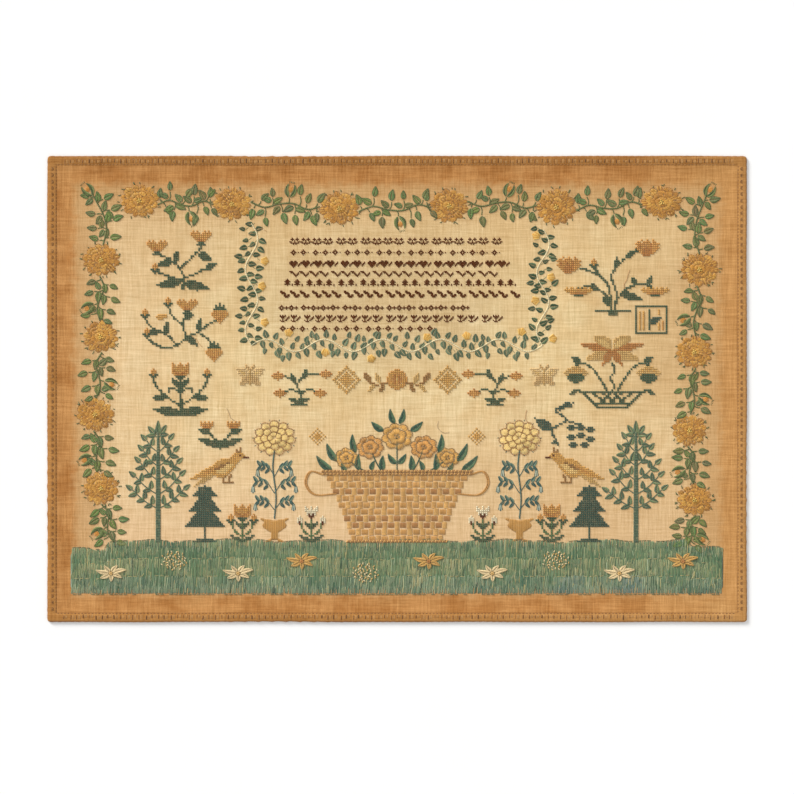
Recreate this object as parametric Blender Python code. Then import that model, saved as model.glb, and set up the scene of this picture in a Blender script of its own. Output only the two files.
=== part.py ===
# A stitched linen sampler cloth, lying face up on a table.
# X runs across the cloth, Y from its foot to its top, and Z is up.
# The underside rests at zero height, and the origin is at its middle.
import math
from collections import namedtuple

import bmesh
import bpy

MM = 0.001

# Plan of the cloth
CLOTH_WIDTH = 914.4 * MM
CLOTH_HEIGHT = 609.6 * MM
CORNER_RADIUS = 4.0 * MM
FIELD_LINE_SPACING = 28.0 * MM

# Section from the folded edge inwards, in millimetres.
# The hem is turned to the back and holds the cloth off the table just inside its fold.
Station = namedtuple("Station", "inset face underside")
HEM_SECTION = (
    Station(inset=0.0, face=1.9, underside=0.6),
    Station(inset=0.8, face=2.6, underside=0.1),
    Station(inset=2.4, face=2.8, underside=0.0),
    Station(inset=4.0, face=2.9, underside=0.0),
    Station(inset=11.0, face=2.8, underside=0.0),
    Station(inset=12.5, face=2.4, underside=0.0),
    Station(inset=13.0, face=2.3, underside=0.8),
    Station(inset=17.0, face=1.9, underside=0.4),
    Station(inset=24.0, face=1.5, underside=0.0),
)

# Slow waves of the worn edge. Each one only pulls the edge inwards.
Wave = namedtuple("Wave", "length depth start")
LONG_EDGE_WAVES = (
    Wave(length=290.0 * MM, depth=0.5 * MM, start=0.7),
    Wave(length=131.0 * MM, depth=0.3 * MM, start=2.1),
)
SHORT_EDGE_WAVES = (
    Wave(length=212.0 * MM, depth=0.4 * MM, start=1.3),
    Wave(length=117.0 * MM, depth=0.3 * MM, start=0.2),
)

# Slow unevenness of the face
SWELL_ACROSS = Wave(length=176.0 * MM, depth=0.25 * MM, start=0.4)
SWELL_UP = Wave(length=149.0 * MM, depth=0.25 * MM, start=1.1)

CLOTH_COLOUR = (0.77, 0.61, 0.36, 1.0)
CLOTH_ROUGHNESS = 0.92


def clear_scene():
    for item in list(bpy.data.objects):
        bpy.data.objects.remove(item, do_unlink=True)


def make_material(name, colour, roughness):
    material = bpy.data.materials.new(name)
    material.use_nodes = True
    shader = material.node_tree.nodes["Principled BSDF"]
    shader.inputs["Base Color"].default_value = colour
    shader.inputs["Roughness"].default_value = roughness
    shader.inputs["Metallic"].default_value = 0.0
    return material


def grid_lines(length):
    """Each line across a side of this length, as its place from the middle and its inset."""
    insets = [station.inset * MM for station in HEM_SECTION]
    field = length - 2 * insets[-1]
    steps = round(field / FIELD_LINE_SPACING)
    lines = [(inset - length / 2, inset) for inset in insets]
    for step in range(1, steps):
        place = -field / 2 + field * step / steps
        lines.append((place, length / 2 - abs(place)))
    lines.extend((length / 2 - inset, inset) for inset in reversed(insets))
    return lines


def section_heights(inset):
    """Height of the face and of the underside at this distance from the edge."""
    field = HEM_SECTION[-1]
    near = min(HEM_SECTION, key=lambda station: abs(station.inset * MM - inset))
    station = field if inset >= field.inset * MM else near
    return station.face * MM, station.underside * MM


def wave_height(wave, along):
    return wave.depth * math.sin(math.tau * along / wave.length + wave.start)


def edge_pull(waves, along):
    """How far the edge is drawn inwards at this place along it."""
    return sum(0.5 * (wave.depth - wave_height(wave, along)) for wave in waves)


def edge_share(inset):
    """1 at the edge, falling to 0 where the field starts."""
    return max(0.0, 1.0 - inset / (HEM_SECTION[-1].inset * MM))


def round_corner(x, y, inset_x, inset_y):
    """Moves a point of the square corner to the same ring of a round one."""
    across = 1.0 - inset_x / CORNER_RADIUS
    up = 1.0 - inset_y / CORNER_RADIUS
    if across <= 0.0 or up <= 0.0:
        return x, y
    ring = max(across, up)
    turn = math.pi / 4 * min(across, up) / ring
    if up > across:
        turn = math.pi / 2 - turn
    centre_x = math.copysign(CLOTH_WIDTH / 2 - CORNER_RADIUS, x)
    centre_y = math.copysign(CLOTH_HEIGHT / 2 - CORNER_RADIUS, y)
    reach = ring * CORNER_RADIUS
    new_x = centre_x + math.copysign(reach * math.cos(turn), x)
    new_y = centre_y + math.copysign(reach * math.sin(turn), y)
    return new_x, new_y


def plan_point(column, row):
    """Where a crossing of two lines lies once the corners and edge waves are in."""
    x, inset_x = column
    y, inset_y = row
    pull_x = edge_pull(SHORT_EDGE_WAVES, y + math.copysign(CLOTH_HEIGHT, x)) * edge_share(inset_x)
    pull_y = edge_pull(LONG_EDGE_WAVES, x + math.copysign(CLOTH_WIDTH, y)) * edge_share(inset_y)
    round_x, round_y = round_corner(x, y, inset_x, inset_y)
    return round_x - math.copysign(pull_x, x), round_y - math.copysign(pull_y, y)


def make_cloth(name):
    columns = grid_lines(CLOTH_WIDTH)
    rows = grid_lines(CLOTH_HEIGHT)
    mesh = bmesh.new()
    faces_up = []
    faces_down = []
    for row in rows:
        upper = []
        lower = []
        for column in columns:
            x, y = plan_point(column, row)
            face, underside = section_heights(min(column[1], row[1]))
            swell = wave_height(SWELL_ACROSS, x) + wave_height(SWELL_UP, y)
            upper.append(mesh.verts.new((x, y, face + swell / 2)))
            lower.append(mesh.verts.new((x, y, underside)))
        faces_up.append(upper)
        faces_down.append(lower)

    for row in range(len(rows) - 1):
        for column in range(len(columns) - 1):
            for layer, facing_down in ((faces_up, False), (faces_down, True)):
                corners = [
                    layer[row][column],
                    layer[row][column + 1],
                    layer[row + 1][column + 1],
                    layer[row + 1][column],
                ]
                if facing_down:
                    corners.reverse()
                mesh.faces.new(corners)

    open_edges = [edge for edge in mesh.edges if edge.is_boundary]
    bmesh.ops.bridge_loops(mesh, edges=open_edges)
    bmesh.ops.recalc_face_normals(mesh, faces=mesh.faces[:])
    centre_on_box(mesh)

    data = bpy.data.meshes.new(name)
    mesh.to_mesh(data)
    mesh.free()
    cloth = bpy.data.objects.new(name, data)
    bpy.context.scene.collection.objects.link(cloth)
    return cloth


def centre_on_box(mesh):
    """Shifts the cloth so that its box is centred on the origin, in plan."""
    shift = []
    for axis in (0, 1):
        places = [vert.co[axis] for vert in mesh.verts]
        shift.append(-(min(places) + max(places)) / 2)
    bmesh.ops.translate(mesh, verts=mesh.verts[:], vec=(shift[0], shift[1], 0.0))


clear_scene()
sampler_cloth = make_cloth("sampler_cloth")
linen = make_material("sampler_cloth", CLOTH_COLOUR, CLOTH_ROUGHNESS)
sampler_cloth.data.materials.append(linen)
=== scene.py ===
import math
import random

import bmesh
import bpy
import numpy as np
from mathutils import Matrix


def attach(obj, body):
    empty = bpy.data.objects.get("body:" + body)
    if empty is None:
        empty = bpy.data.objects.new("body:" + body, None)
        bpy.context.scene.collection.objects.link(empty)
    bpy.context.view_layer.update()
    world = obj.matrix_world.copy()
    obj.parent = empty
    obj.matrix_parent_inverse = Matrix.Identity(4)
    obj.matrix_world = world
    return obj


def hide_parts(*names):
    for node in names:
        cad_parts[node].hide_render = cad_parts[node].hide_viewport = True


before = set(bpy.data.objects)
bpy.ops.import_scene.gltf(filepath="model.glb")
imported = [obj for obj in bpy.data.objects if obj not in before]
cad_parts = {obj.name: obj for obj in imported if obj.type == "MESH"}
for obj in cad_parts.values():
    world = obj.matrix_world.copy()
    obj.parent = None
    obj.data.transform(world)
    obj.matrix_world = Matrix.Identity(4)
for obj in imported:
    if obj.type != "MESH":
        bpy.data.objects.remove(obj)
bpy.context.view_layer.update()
mm = 0.001
print("frame loaded")

# light, floor and camera, in mm; whiteLevel is how bright a perfectly white cloth comes out
view = {
    "imageSize": 794, "mmPerPixel": 1.3063, "lens": 180.0, "sensor": 36.0, "aimX": 0.0, "aimY": -10.5,
    "sunStrength": 4.05, "sunSoftness": 17.0, "sunFrom": (-0.66, 0.74, 0.33), "sunTint": (1.0, 0.99, 0.975),
    "skyStrength": 0.735, "skyTint": (1.0, 0.995, 0.985, 1), "whiteLevel": 1.14,
    "floorTone": 0.90, "floorReach": 6000.0, "floorDrop": 0.15, "floorGrain": 9.0,
}


def tone(red, green, blue):
    # a screen colour as the linear dye that gives it under this light
    parts = []
    for part in (red, green, blue):
        part /= 255
        linear = part / 12.92 if part <= 0.04045 else ((part + 0.055) / 1.055) ** 2.4
        parts.append(linear / view["whiteLevel"])
    return tuple(parts)


def tones(design, *names):
    # the dyes of several named colours of one design
    return [tone(*design[name]) for name in names]


def addObject(name, data):
    if isinstance(data, bmesh.types.BMesh):
        mesh = bpy.data.meshes.new(name)
        data.to_mesh(mesh)
        data.free()
        data = mesh
    made = bpy.data.objects.new(name, data)
    bpy.context.scene.collection.objects.link(made)
    return made


def makeStage():
    scene = bpy.context.scene
    scene.view_settings.view_transform = "Standard"

    bm = bmesh.new()
    bmesh.ops.create_grid(bm, x_segments=1, y_segments=1, size=view["floorReach"] * mm)
    bmesh.ops.translate(bm, verts=bm.verts[:], vec=(0, 0, -view["floorDrop"] * mm))
    floor = addObject("floor", bm)
    floor.data.materials.append(floorMaterial())

    world = bpy.data.worlds.new("studioSky")
    world.use_nodes = True
    world.node_tree.nodes["Background"].inputs["Color"].default_value = view["skyTint"]
    world.node_tree.nodes["Background"].inputs["Strength"].default_value = view["skyStrength"]
    scene.world = world

    sun = bpy.data.lights.new("windowLight", "SUN")
    sun.energy = view["sunStrength"]
    sun.angle = math.radians(view["sunSoftness"])
    sun.color = view["sunTint"]
    toLight = np.array(view["sunFrom"])
    tilt = math.acos(toLight[2] / np.linalg.norm(toLight))
    turn = math.atan2(toLight[1], toLight[0]) + math.pi / 2
    addObject("windowLight", sun).rotation_euler = (tilt, 0, turn)

    camera = bpy.data.cameras.new("overhead")
    camera.lens = view["lens"]
    camera.sensor_width = view["sensor"]
    camera.clip_end = 50
    holder = addObject("overhead", camera)
    span = view["imageSize"] * view["mmPerPixel"] * mm
    holder.location = (view["aimX"] * mm, view["aimY"] * mm, span * view["lens"] / view["sensor"])
    scene.camera = holder


class Shader:
    # a short way to lay out shader nodes
    def __init__(self, name):
        self.material = bpy.data.materials.new(name)
        self.material.use_nodes = True
        self.tree = self.material.node_tree
        self.surface = self.tree.nodes["Principled BSDF"]

    def add(self, kind, **settings):
        node = self.tree.nodes.new(kind)
        for key, value in settings.items():
            setattr(node, key, value)
        return node

    def feed(self, socket, value):
        if isinstance(value, bpy.types.NodeSocket):
            self.tree.links.new(value, socket)
        elif value is not None:
            socket.default_value = value

    def math(self, operation, first, second=None, third=None, clamp=False):
        node = self.add("ShaderNodeMath", operation=operation, use_clamp=clamp)
        for socket, value in zip(node.inputs, (first, second, third)):
            self.feed(socket, value)
        return node.outputs[0]

    def times(self, first, second):
        return self.math("MULTIPLY", first, second)

    def plus(self, first, second):
        return self.math("ADD", first, second)

    def minus(self, first, second):
        return self.math("SUBTRACT", first, second)

    def fit(self, value, factor, offset):
        return self.math("MULTIPLY_ADD", value, factor, offset)

    def size(self, value):
        return self.math("ABSOLUTE", value)

    def most(self, first, second):
        return self.math("MAXIMUM", first, second)

    def vector(self, operation, *values, outlet=0):
        node = self.add("ShaderNodeVectorMath", operation=operation)
        for socket, value in zip(node.inputs, values):
            self.feed(socket, value)
        return node.outputs[outlet]

    def split(self, vector):
        node = self.add("ShaderNodeSeparateXYZ")
        self.feed(node.inputs[0], vector)
        return node.outputs[0], node.outputs[1]

    def objectPlace(self, scale=1.0):
        place = self.add("ShaderNodeTexCoord").outputs["Object"]
        return place if scale == 1.0 else self.place(place, scale)

    def ramp(self, value, low, high, outLow=0.0, outHigh=1.0):
        # an eased step from low to high
        node = self.add("ShaderNodeMapRange", interpolation_type="SMOOTHSTEP")
        for socket, item in zip(node.inputs, (value, low, high, outLow, outHigh)):
            self.feed(socket, item)
        return node.outputs[0]

    def mix(self, share, first, second, blend="MIX"):
        node = self.add("ShaderNodeMix", data_type="RGBA", blend_type=blend)
        self.feed(node.inputs[0], share)
        for socket, colour in ((node.inputs[6], first), (node.inputs[7], second)):
            if isinstance(colour, tuple):
                colour = (*colour[:3], 1.0)
            self.feed(socket, colour)
        return node.outputs[2]

    def place(self, source, scale):
        node = self.add("ShaderNodeMapping")
        self.feed(node.inputs["Vector"], source)
        node.inputs["Scale"].default_value = scale if isinstance(scale, tuple) else (scale,) * 3
        return node.outputs[0]

    def noise(self, source, scale, detail=2.0, rough=0.5):
        node = self.add("ShaderNodeTexNoise")
        self.feed(node.inputs["Vector"], self.place(source, scale))
        node.inputs["Scale"].default_value = 1.0
        node.inputs["Detail"].default_value = detail
        node.inputs["Roughness"].default_value = rough
        return node.outputs[0]

    def bump(self, height, strength, distance):
        node = self.add("ShaderNodeBump")
        node.inputs["Strength"].default_value = strength
        node.inputs["Distance"].default_value = distance
        self.feed(node.inputs["Height"], height)
        self.feed(self.surface.inputs["Normal"], node.outputs[0])

    def finish(self, colour, roughness, specular=0.5, sheen=0.0):
        self.feed(self.surface.inputs["Base Color"], colour)
        self.surface.inputs["Roughness"].default_value = roughness
        self.surface.inputs["Specular IOR Level"].default_value = specular
        self.surface.inputs["Sheen Weight"].default_value = sheen
        return self.material


def floorMaterial():
    shader = Shader("paleFloor")
    grain = shader.noise(shader.objectPlace(), view["floorGrain"], 3)
    level = view["floorTone"]
    shaded = (level * 0.985, level * 0.985, level * 0.98)
    return shader.finish(shader.mix(grain, (level, level, level), shaded), 0.9)


# the linen cloth, in mm
# edge rows run from the folded edge inwards: inset, height of the face, height of the underside
# fades are slow changes of tone, and of the painted shade line at the hem: which way they run, from where to
# where, and how strong at each end
cloth = {
    "width": 914.4, "height": 609.6, "cornerRadius": 4.0, "fieldStep": 4.5, "pullReach": 14.0,
    "edgeRows": (
        (0.0, 1.50, 0.90), (0.4, 2.05, 0.40), (1.1, 2.45, 0.12), (2.4, 2.68, 0.0), (4.0, 2.78, 0.0),
        (6.5, 2.80, 0.0), (9.0, 2.74, 0.0), (11.0, 2.55, 0.0), (12.2, 2.20, 0.0), (12.8, 2.05, 0.70),
        (13.6, 2.10, 0.62), (15.2, 2.02, 0.48), (17.5, 1.84, 0.34), (20.5, 1.62, 0.14), (24.0, 1.45, 0.0)),
    "hem": 12.5, "slackTo": 23.0, "slackLift": 0.05,
    "crumple": 0.17, "swell": 0.22, "stitchPitch": 9.0, "threadPitch": 1.6, "threadWander": 2.4,
    "cream": (230, 198, 143), "paleCream": (236, 210, 159), "pinkCream": (233, 194, 150),
    "rimCream": (204, 158, 103), "tanCream": (214, 175, 122), "greyCream": (206, 178, 132),
    "amber": (200, 143, 83), "rustAmber": (180, 121, 62), "tanAmber": (202, 149, 88),
    "hemTone": (179, 125, 65), "hemTan": (192, 140, 80), "hemShadeAndWear": (132, 86, 42),
    "stain": (205, 158, 100), "speck": (176, 122, 70), "stainShare": 0.28, "speckShare": 0.30,
    "yarnSpread": 0.67, "bandSpread": 0.20, "weaveLight": 0.22, "weaveShade": -0.10,
    "warmth": (0.8, 1.0, 1.4), "roughness": 0.93, "sheen": 0.08,
    "fieldX": 421.0, "fieldY": 267.0, "fieldMiddle": (0.5, -0.5), "rimWobble": 20.0, "grooveShadeWidth": 1.3,
    "greyMiddle": (-20.0, 110.0, 0.0), "greyReach": (1 / 200, 1 / 110, 0), "bumpDepth": 0.35,
    "fades": {
        "left": ("x", -150, -420, 0, 1), "low": ("y", 40, -240, 0, 1), "right": ("x", 190, 400, 0, 1),
        "rightFoot": ("y", -50, 10, 0.35, 0.95), "rightHead": ("y", 190, 110, 0.7, 1),
        "lowRight": ("x", -40, 200, 0, 1), "lowRightHead": ("y", -40, -120, 0, 0.5),
        "high": ("y", 80, 220, 0, 0.45), "highRight": ("x", 330, 230, 0.3, 1),
        "amberRight": ("x", 250, 440, 0, 1), "grooveShade": ("y", 280, 290, 0.5, 0.2),
        "topMargin": ("y", 235, 272, 0, 0.055), "topHem": ("y", 289, 297, 0, 0.16)},
}
edgeInsets, faceHeights, underHeights = (np.array(part) for part in zip(*cloth["edgeRows"]))

# places on the cloth's map: the face fills the upper part, the underside a smaller part, the fold a strip
clothMap = {
    "faceFoot": 0.333, "underLeft": 0.02, "underFoot": 0.015, "underScale": 0.45,
    "foldLeft": 0.52, "foldLong": 0.46, "foldSpan": 1.667, "foldFoot": 0.06, "foldTall": 0.03,
    "foldSplit": 1.2,
}


def clothTop(x, y):
    # height of the cloth's face in mm, at places in mm
    x, y = np.asarray(x, float), np.asarray(y, float)
    inset = np.minimum(cloth["width"] / 2 - abs(x), cloth["height"] / 2 - abs(y))
    face = np.interp(inset, edgeInsets, faceHeights)
    swell = cloth["swell"] / 2 * (np.sin(x / 28 + 0.4) + np.sin(y / 24 + 1.1))
    crumple = cloth["crumple"] * np.sin(x / 8.3 + 2 * np.sin(y / 31)) * np.sin(y / 9.7 + 1.7 * np.sin(x / 27))
    return face + (swell + crumple) * np.clip(inset / 24, 0.15, 1)


def edgePull(along, seed):
    # how far the worn edge is drawn in, in mm: long waves, and a small scallop at each hem stitch
    slow = 0.30 * (1 - np.sin(along / 46 + seed)) + 0.2 * (1 - np.sin(along / 20 + 2.1 * seed))
    scallop = 0.16 * (1 - np.cos(math.tau * along / cloth["stitchPitch"]))
    patch = np.exp(-((along + 150) / 75) ** 2) * 0.42 * (1 - np.cos(math.tau * along / 18 + 0.6))
    return 0.6 * slow + scallop + patch


def vertPlaces(mesh):
    places = np.empty(len(mesh.vertices) * 3)
    mesh.vertices.foreach_get("co", places)
    return places.reshape(-1, 3)


def makeCloth():
    def lines(length):
        field = length - 2 * edgeInsets[-1]
        steps = 2 * round(field / cloth["fieldStep"] / 2)
        inner = [-field / 2 + field * step / steps for step in range(1, steps)]
        edge = length / 2 - edgeInsets
        return np.array([*-edge, *inner, *edge[::-1]])

    columns, rows = lines(cloth["width"]), lines(cloth["height"])
    bm = bmesh.new()
    bmesh.ops.create_grid(bm, x_segments=len(columns) - 1, y_segments=len(rows) - 1, size=0.5)
    made = bmesh.ops.extrude_face_region(bm, geom=bm.faces[:], use_keep_orig=True)
    lower = [item for item in made["geom"] if isinstance(item, bmesh.types.BMVert)]
    bmesh.ops.translate(bm, verts=lower, vec=(0, 0, -1))
    bmesh.ops.recalc_face_normals(bm, faces=bm.faces[:])
    linen = addObject("linenCloth", bm)

    mesh = linen.data
    places = vertPlaces(mesh)
    column = np.rint((places[:, 0] + 0.5) * (len(columns) - 1)).astype(int)
    row = np.rint((places[:, 1] + 0.5) * (len(rows) - 1)).astype(int)
    top = places[:, 2] > -0.5
    x, y = columns[column], rows[row]
    insetX, insetY = cloth["width"] / 2 - abs(x), cloth["height"] / 2 - abs(y)
    inset = np.minimum(insetX, insetY)
    high = clothTop(x, y)
    low = np.interp(inset, edgeInsets, underHeights)
    low += np.where((inset > cloth["hem"]) & (inset < cloth["slackTo"]), cloth["slackLift"], 0)

    # round the four corners: each square ring of the corner becomes a round one
    radius = cloth["cornerRadius"]
    across, up = np.clip(1 - insetX / radius, 0, 1), np.clip(1 - insetY / radius, 0, 1)
    ring = np.maximum(across, up)
    turn = np.pi / 4 * np.minimum(across, up) / np.where(ring > 0, ring, 1)
    turn = np.where(up > across, np.pi / 2 - turn, turn)
    inCorner = (across > 0) & (up > 0)
    newX = np.sign(x) * (cloth["width"] / 2 - radius + ring * radius * np.cos(turn))
    newY = np.sign(y) * (cloth["height"] / 2 - radius + ring * radius * np.sin(turn))
    x, y = np.where(inCorner, newX, x), np.where(inCorner, newY, y)

    fade = lambda gap: np.clip(1 - gap / cloth["pullReach"], 0, 1)
    pullX = edgePull(y, np.where(x > 0, 1.3, 4.2)) * fade(insetX)
    pullY = edgePull(x, np.where(y > 0, 0.7, 2.9)) * fade(insetY)
    x, y = x - np.sign(x) * pullX, y - np.sign(y) * pullY
    places = np.stack([x, y, np.where(top, high, low)], 1) * mm
    mesh.vertices.foreach_set("co", places.ravel())
    mesh.shade_smooth()
    layOutCloth(mesh, top)
    mesh.update()
    return linen


def layOutCloth(mesh, top):
    m = clothMap
    corner = np.empty(len(mesh.loops), int)
    mesh.loops.foreach_get("vertex_index", corner)
    places = vertPlaces(mesh)[corner] / mm
    faceOf = np.repeat(np.arange(len(mesh.polygons)), 4)
    share = (np.bincount(faceOf, top[corner]) / 4)[faceOf]
    across = places[:, 0] / cloth["width"] + 0.5
    up = (places[:, 1] / cloth["height"] + 0.5) * cloth["height"] / cloth["width"]
    u = np.where(share > 0.9, across, m["underLeft"] + m["underScale"] * across)
    v = np.where(share > 0.9, up + m["faceFoot"], m["underFoot"] + m["underScale"] * up)
    onFold = (share > 0.1) & (share < 0.9)
    u = np.where(onFold, m["foldLeft"] + m["foldLong"] * (across + up) / m["foldSpan"], u)
    v = np.where(onFold, m["foldFoot"] + m["foldTall"] * (places[:, 2] > m["foldSplit"]), v)
    layer = mesh.uv_layers.new(name="OFBake")
    layer.uv.foreach_set("vector", np.stack([u, v], 1).astype(np.float32).ravel())


def linenMaterial():
    s, c = Shader("agedLinen"), cloth
    place = s.objectPlace(1000)  # in mm
    wobble = s.add("ShaderNodeTexNoise")
    s.feed(wobble.inputs["Vector"], s.place(place, 0.03))
    loose = s.vector("MULTIPLY_ADD", wobble.outputs[1], (c["threadWander"], c["threadWander"], 0.0), place)
    x, y = s.split(place)

    def fade(name):
        way, *ends = c["fades"][name]
        return s.ramp(x if way == "x" else y, *ends)

    def dyed(share, colour, name):
        return s.mix(share, colour, tone(*c[name]))

    # plain weave: warp over weft in one square, weft over warp in the next
    pitch = c["threadPitch"]
    warp, weft = (s.size(s.math("SINE", s.times(way, math.pi / pitch))) for way in s.split(loose))
    checks = s.add("ShaderNodeTexChecker")
    s.feed(checks.inputs["Vector"], s.place(loose, (1 / pitch, 1 / pitch, 0.0)))
    checks.inputs["Scale"].default_value = 1.0
    over = s.times(warp, s.fit(weft, 0.45, 0.55))
    under = s.times(weft, s.fit(warp, 0.45, 0.55))
    lift = s.plus(s.times(over, checks.outputs[1]), s.times(under, s.minus(1.0, checks.outputs[1])))

    # thick and thin yarns, each a streak along its own thread, and broader bands of them
    def streaks(source, warpScale, weftScale, rough, spread):
        noises = [s.noise(source, (*scale, 0.1), 3, rough) for scale in (warpScale, weftScale)]
        return s.plus(*(s.times(s.minus(noise, 0.5), spread) for noise in noises))

    yarns = streaks(loose, (0.50, 0.026), (0.024, 0.50), 0.65, c["yarnSpread"])
    bands = streaks(place, (0.30, 0.014), (0.015, 0.32), 0.6, c["bandSpread"])
    # painted shade: threads raised in the weave are painted lighter and sunken ones darker, added to the yarn
    # streaks
    light = s.plus(s.plus(yarns, bands), s.fit(lift, c["weaveLight"], c["weaveShade"]))

    # cream field inside an amber margin with a soft, uneven line between them
    blotch = s.noise(place, 0.018, 4, 0.6)
    offX = s.minus(s.size(s.minus(x, c["fieldMiddle"][0])), c["fieldX"])
    offY = s.minus(s.size(s.minus(y, c["fieldMiddle"][1])), c["fieldY"])
    rough = s.times(s.minus(s.noise(place, 0.09, 3, 0.6), 0.5), c["rimWobble"])
    outside = s.plus(s.most(offX, offY), rough)
    margin = s.ramp(outside, -8.0, 9.0)

    cream = dyed(s.ramp(blotch, 0.38, 0.66), tone(*c["cream"]), "paleCream")
    cream = dyed(s.times(s.most(s.times(fade("left"), 0.55), fade("low")), 0.75), cream, "pinkCream")
    farRight = s.times(fade("right"), s.times(fade("rightFoot"), fade("rightHead")))
    lowRight = s.times(fade("lowRight"), fade("lowRightHead"))
    high = s.times(fade("high"), fade("highRight"))
    cream = dyed(s.most(s.most(farRight, lowRight), high), cream, "tanCream")
    offMiddle = s.place(s.vector("SUBTRACT", place, c["greyMiddle"]), c["greyReach"])
    greyed = s.fit(blotch, 0.8, s.vector("LENGTH", offMiddle, outlet=1))
    cream = dyed(s.ramp(greyed, 1.6, 0.7, 0.0, 0.58), cream, "greyCream")
    drift = s.fit(s.minus(blotch, 0.5), 60.0, outside)
    cream = dyed(s.ramp(drift, -66.0, 0.0, 0.0, 0.9), cream, "rimCream")
    amber = dyed(s.ramp(blotch, 0.40, 0.62), tone(*c["amber"]), "rustAmber")
    amber = dyed(s.times(fade("amberRight"), 0.75), amber, "tanAmber")
    colour = s.mix(margin, cream, amber)

    # the hem is darker, with a painted line of shade where it ends and a worn edge
    inset = s.math("MINIMUM", s.minus(c["width"] / 2, s.size(x)), s.minus(c["height"] / 2, s.size(y)))
    hemSide = s.ramp(s.fit(y, -0.4, x), 100.0, 480.0)
    onHem = s.ramp(inset, c["hem"] + 0.9, c["hem"] - 0.7, 0.0, 0.8)
    colour = s.mix(onHem, colour, dyed(hemSide, tone(*c["hemTone"]), "hemTan"))
    # painted shade: a dark line in the groove where the hem's fold ends, fainter along the top
    offGrooveShade = s.math("DIVIDE", s.size(s.minus(inset, c["hem"] - 0.1)), c["grooveShadeWidth"])
    grooveShade = s.math("SUBTRACT", 1.0, offGrooveShade, clamp=True)
    colour = dyed(s.times(grooveShade, fade("grooveShade")), colour, "hemShadeAndWear")
    colour = dyed(s.ramp(inset, 3.0, 0.0, 0.0, 0.6), colour, "hemShadeAndWear")

    # the weave shows more in the margin, and the colour is darker towards the top edge
    light = s.times(light, s.fit(margin, 0.35, 1.0))
    light = s.minus(light, s.plus(fade("topMargin"), fade("topHem")))

    # stains and foxing of age, then a warm cast from the yarn streaks and the painted shade of the weave
    stain = s.ramp(s.noise(place, (0.009, 0.012, 0.01), 5, 0.62), 0.55, 0.72)
    colour = dyed(s.times(stain, c["stainShare"]), colour, "stain")
    speck = s.ramp(s.noise(place, 0.16, 2, 0.5), 0.72, 0.80)
    colour = dyed(s.times(speck, c["speckShare"]), colour, "speck")
    shading = s.add("ShaderNodeCombineColor")
    for socket, depth in zip(shading.inputs, c["warmth"]):  # thread shade is warm, so blue falls off most
        s.feed(socket, s.fit(light, depth, 1.0))
    s.bump(s.plus(lift, s.times(yarns, 1.2)), 0.55, c["bumpDepth"] * mm)
    colour = s.mix(1.0, colour, shading.outputs[0], "MULTIPLY")
    return s.finish(colour, c["roughness"], 0.18, c["sheen"])


# thread: every stitch is a small closed body of one shape, and a piece is a joined mesh of them
# a stitch: start x, y, end x, y, thread width, how high it stands, lift over its neighbours, colour
threads = {
    "stitchSides": 4, "ringPlace": 0.34, "endDip": 0.55, "arch": 0.30, "standing": 0.62, "shortest": 0.2,
    "endLift": 0.3, "shadeSpread": 0.10, "mapGap": 0.12, "mapSpread": 40, "petalLobe": 0.18,
}
# how each kind of thread looks; a piece that isn't named below is worked in floss silk
threadKinds = {
    "flossSilk": {"roughness": 0.52, "sheen": 0.25, "twist": 2.2, "fleck": 0.55, "worn": 0.16},
    "crewelWool": {"roughness": 0.78, "sheen": 0.35, "twist": 1.6, "fleck": 0.65, "worn": 0.16},
    "countedCotton": {"roughness": 0.66, "sheen": 0.12, "twist": 2.4, "fleck": 0.5, "worn": 0.16},
    "bandCotton": {"roughness": 0.75, "sheen": 0.0, "twist": 2.4, "fleck": 0.5, "worn": 0.04},
}
threadOf = {
    "patternBands": "bandCotton", "greenGround": "crewelWool", "countedPlants": "countedCotton",
    "countedMotifs": "countedCotton", "topiary": "countedCotton", "hemStitches": "countedCotton",
    "looseEnds": "countedCotton",
}
wornTone = (214, 184, 132)
sewn = {}
chance = random.Random(36)


def shade(colour, spread=None):
    # the same dye a little lighter or darker, as thread takes it
    amount = 1 + chance.uniform(-1, 1) * (threads["shadeSpread"] if spread is None else spread)
    return tuple(part * amount for part in colour)


def sew(piece, x0, y0, x1, y1, width, colour, height=None, lift=0.0):
    height = threads["standing"] * width if height is None else height
    sewn.setdefault(piece, []).append((x0, y0, x1, y1, width, height, lift, *colour))


def unitStitch():
    bm = bmesh.new()
    bmesh.ops.create_uvsphere(bm, u_segments=threads["stitchSides"], v_segments=3, radius=0.5)
    bmesh.ops.rotate(bm, verts=bm.verts[:], cent=(0, 0, 0), matrix=Matrix.Rotation(math.pi / 2, 3, "Y"))
    for vert in bm.verts:
        if abs(vert.co.x) < 0.45:
            around = 2 * math.hypot(vert.co.y, vert.co.z)
            vert.co = (math.copysign(threads["ringPlace"], vert.co.x), vert.co.y / around, vert.co.z / around)
        else:
            vert.co = (math.copysign(0.5, vert.co.x), 0, 0)
    bmesh.ops.triangulate(bm, faces=bm.faces[:])
    bmesh.ops.recalc_face_normals(bm, faces=bm.faces[:])
    bm.verts.index_update()
    verts = np.array([vert.co[:] for vert in bm.verts])
    faces = np.array([[vert.index for vert in face.verts] for face in bm.faces])
    bm.free()
    return verts, faces


stitchVerts, stitchFaces = unitStitch()


def cornerMap(verts, faces):
    # along the thread from 0 to 1, and round it from 0 to 1, for each corner of each triangle
    corners = verts[faces]
    along = corners[..., 0] + 0.5
    angle = np.arctan2(corners[..., 2], corners[..., 1]) / math.tau
    tip = np.hypot(corners[..., 1], corners[..., 2]) < 1e-6
    middle = corners.mean(1)
    centre = (np.arctan2(middle[:, 2], middle[:, 1]) / math.tau)[:, None]
    angle = centre + (angle - centre + 0.5) % 1 - 0.5
    angle = np.where(tip, centre, angle)
    return along, angle - math.floor(angle.min() * 4) / 4


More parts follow.
